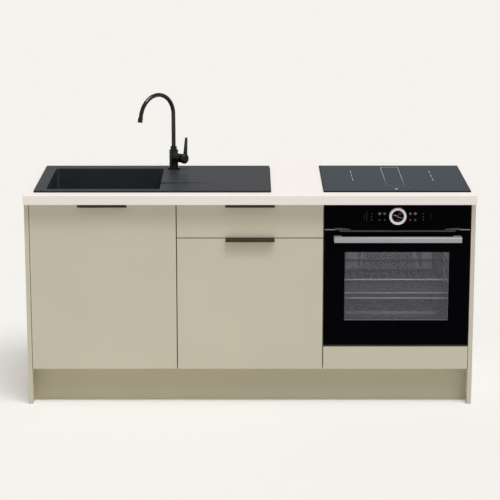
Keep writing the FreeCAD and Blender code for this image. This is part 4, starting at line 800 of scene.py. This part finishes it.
screws += [(x, SCREW_MIDDLE_ROW) for x in (SCREW_COLUMNS[0], SCREW_COLUMNS[-1])]
discs("oven_rear_screws", [(x, SCREW_Y, z) for x, z in screws] + [TERMINAL_SCREW],
      SCREW_RADIUS, SCREW_DEPTH, "y", SCREW, "carcass", 16)
hoops("oven_rear_washers", screws, WASHER_OUTER, WASHER_INNER, WASHER_FRONT, WASHER_BACK,
      SCREW, "carcass")

# Worktop

# Black sealant round the sink, where its rim lies on the worktop
WORKTOP_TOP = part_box("worktop")[1].z
SINK_CORNER = 0.008
BEAD_WIDTH, BEAD_HEIGHT = 0.0026, 0.0036
sealant_bead(
    "sink_sealant", *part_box("sink_basin"), WORKTOP_TOP, SINK_CORNER, BEAD_WIDTH, BEAD_HEIGHT,
    BLACK_RUBBER, "carcass", "seal_rubber",
)

# The black rubber seal round the hob's glass
hob_low, hob_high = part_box("hob_glass")
HOB_TOP = hob_high.z
SEAL_TOP = HOB_TOP - 0.0001
SEAL_WIDTH = 0.0022
SEAL_LEFT, SEAL_RIGHT = hob_low.x - SEAL_WIDTH, hob_high.x + SEAL_WIDTH
boxes(
    "hob_edge",
    [
        ((SEAL_LEFT, hob_low.y - SEAL_WIDTH, hob_low.z), (SEAL_RIGHT, hob_low.y, SEAL_TOP)),
        ((SEAL_LEFT, hob_high.y, hob_low.z), (SEAL_RIGHT, hob_high.y + SEAL_WIDTH, SEAL_TOP)),
        ((SEAL_LEFT, hob_low.y, hob_low.z), (hob_low.x, hob_high.y, SEAL_TOP)),
        ((hob_high.x, hob_low.y, hob_low.z), (SEAL_RIGHT, hob_high.y, SEAL_TOP)),
    ],
    BLACK_RUBBER, "carcass",
)

# The hob's printed marks: the middle zone's outline, dashes on the side zones and touch dots
HOB_MARK = paint("hob_print", srgb(190, 198, 205))
HOB_BRIGHT = paint("hob_print_bright", srgb(235, 238, 240))
HOB_DIM = paint("hob_print_dim", srgb(110, 118, 124))
HOB_PRINT_Z = (HOB_TOP - 0.00005, HOB_TOP + 0.0001)
ZONE_X, ZONE_Y = (0.564, 0.638), (-0.143, 0.225)
ZONE_FADE = -0.04  # in front of this the outline is printed dim
DASH_X = (0.430, 0.766)
DASH_Y = ((-0.046, 0.002), (0.030, 0.070), (0.102, 0.152))
TOUCH_Z = HOB_TOP + 0.00005
TOUCH_LEFT, TOUCH_PITCH, TOUCH_Y, TOUCH_COUNT = 0.590, 0.022, -0.176, 4
POWER_DOT = (0.5992, -0.208, TOUCH_Z)
TOUCH_RADIUS, POWER_RADIUS, TOUCH_DEPTH = 0.0034, 0.0056, 0.0002
NEAR_WIDTH, DASH_WIDTH, FAR_WIDTH = 0.0020, 0.0022, 0.003


def hob_line(x0, y0, x1, y1, width=0.0014):
    """A printed line along x or y, as the two corners of a flat block."""
    along_x, along_y = (0, width / 2) if y0 == y1 else (width / 2, 0)
    bottom, top = HOB_PRINT_Z
    return ((x0 - along_x, y0 - along_y, bottom), (x1 + along_x, y1 + along_y, top))


boxes(
    "hob_zone_outline",
    [hob_line(x, ZONE_FADE, x, ZONE_Y[1]) for x in ZONE_X]
    + [hob_line(ZONE_X[0], ZONE_Y[1], ZONE_X[1], ZONE_Y[1], FAR_WIDTH)],
    HOB_MARK, "carcass",
)
boxes(
    "hob_zone_near_line",
    [hob_line(ZONE_X[0], ZONE_Y[0], ZONE_X[1], ZONE_Y[0], NEAR_WIDTH)]
    + [hob_line(x, ZONE_Y[0], x, ZONE_FADE) for x in ZONE_X],
    HOB_DIM, "carcass",
)
boxes("hob_zone_marks",
      [hob_line(x, y0, x, y1, DASH_WIDTH) for x in DASH_X for y0, y1 in DASH_Y],
      HOB_MARK, "carcass")
discs("hob_touch_dots",
      [(TOUCH_LEFT + step * TOUCH_PITCH, TOUCH_Y, TOUCH_Z) for step in range(TOUCH_COUNT)],
      TOUCH_RADIUS, TOUCH_DEPTH, "z", HOB_DIM, "carcass", 16)
discs("hob_power_dot", [POWER_DOT], POWER_RADIUS, TOUCH_DEPTH, "z", HOB_BRIGHT, "carcass", 20)

# Floor and light

# The sky and the suns light the floor evenly; its glow makes up the rest of the backdrop's tone.
BACKDROP = srgb(245, 243, 239)
SKY_TONE, SKY = (1.0, 0.985, 0.95), 0.37
# Each sun's name, height and turn to the right in degrees, power, and breadth in degrees
SUNS = (("key", 66.5, 45, 2.05, 32), ("front", 73, 3, 0.85, 7))
FLOOR_SIZE = 60
FLOOR_SHARE = 0.64
FLOOR_LIGHT = SKY + sum(
    power * math.sin(math.radians(rise)) for _, rise, _, power, _ in SUNS
) / math.pi
# The oven's own light, under the front of its roof and under the pan: name, place, size, power
# and tilt towards the back in degrees
OVEN_LAMPS = (
    ("oven_lamp", (0.6, -0.232, 0.672), (0.40, 0.03), 0.8, 28),
    ("oven_floor_lamp", (0.6, -0.10, 0.425), (0.36, 0.04), 0.085, 20),
)
LAMP_TONE = (1.0, 0.97, 1.0)


def floor():
    mesh = bpy.data.meshes.new("floor")
    reach = FLOOR_SIZE
    corners = [(-reach, -reach, 0), (reach, -reach, 0), (reach, reach, 0), (-reach, reach, 0)]
    mesh.from_pydata(corners, [], [(0, 1, 2, 3)])
    plane = bpy.data.objects.new("floor", mesh)
    bpy.context.scene.collection.objects.link(plane)
    look = Shader(
        "floor_pale", shade(BACKDROP, FLOOR_SHARE), 0.9, specular=0.0,
        Emission_Color=(*shade(BACKDROP, 1 - FLOOR_SHARE * FLOOR_LIGHT), 1), Emission_Strength=1.0,
    )
    mesh.materials.append(look.material)


def sky():
    """An even sky, which looks as pale as the floor where it is seen itself."""
    world = bpy.data.worlds.new("studio")
    world.use_nodes = True
    nodes, links = world.node_tree.nodes, world.node_tree.links
    light = nodes["Background"]
    light.inputs["Color"].default_value = (*SKY_TONE, 1)
    light.inputs["Strength"].default_value = SKY
    backdrop = nodes.new("ShaderNodeBackground")
    backdrop.inputs["Color"].default_value = (*BACKDROP, 1)
    choice = nodes.new("ShaderNodeMixShader")
    links.new(nodes.new("ShaderNodeLightPath").outputs["Is Camera Ray"], choice.inputs["Fac"])
    links.new(light.outputs["Background"], choice.inputs[1])
    links.new(backdrop.outputs["Background"], choice.inputs[2])
    links.new(choice.outputs["Shader"], nodes["World Output"].inputs["Surface"])
    bpy.context.scene.world = world


def lamp(name, kind, power):
    data = bpy.data.lights.new(name, kind)
    data.energy = power
    holder = bpy.data.objects.new(name, data)
    bpy.context.scene.collection.objects.link(holder)
    return holder, data


floor()
sky()
for name, rise, turn, power, breadth in SUNS:
    holder, data = lamp(name, "SUN", power)
    data.angle = math.radians(breadth)
    rise, turn = math.radians(rise), math.radians(turn)
    towards = Vector((
        math.cos(rise) * math.sin(turn), -math.cos(rise) * math.cos(turn), math.sin(rise),
    ))
    holder.rotation_euler = towards.to_track_quat("Z", "Y").to_euler()
for name, place, (width, depth), power, tilt in OVEN_LAMPS:
    holder, data = lamp(name, "AREA", power)
    data.shape = "RECTANGLE"
    data.size = width
    data.size_y = depth
    data.color = LAMP_TONE
    holder.location = place
    holder.rotation_euler = (math.radians(tilt), 0, 0)

# Camera
IMAGE_PIXELS = 500
FOCAL_PIXELS = 1801
SENSOR = 36
CAMERA_TILT = 12.01
CAMERA_SHIFT = -0.1497
CAMERA_PLACE = (0, -7.407, 2.486)
CLIP_NEAR, CLIP_FAR = 0.05, 200
camera_data = bpy.data.cameras.new("camera")
camera_data.sensor_width = SENSOR
camera_data.lens = FOCAL_PIXELS / IMAGE_PIXELS * SENSOR
camera_data.shift_y = CAMERA_SHIFT
camera_data.clip_start = CLIP_NEAR
camera_data.clip_end = CLIP_FAR
camera = bpy.data.objects.new("camera", camera_data)
camera.location = CAMERA_PLACE
camera.rotation_euler = (math.radians(90 - CAMERA_TILT), 0, 0)
bpy.context.scene.collection.objects.link(camera)
bpy.context.scene.camera = camera

view = bpy.context.scene.view_settings
view.view_transform = "Standard"
view.look = "None"
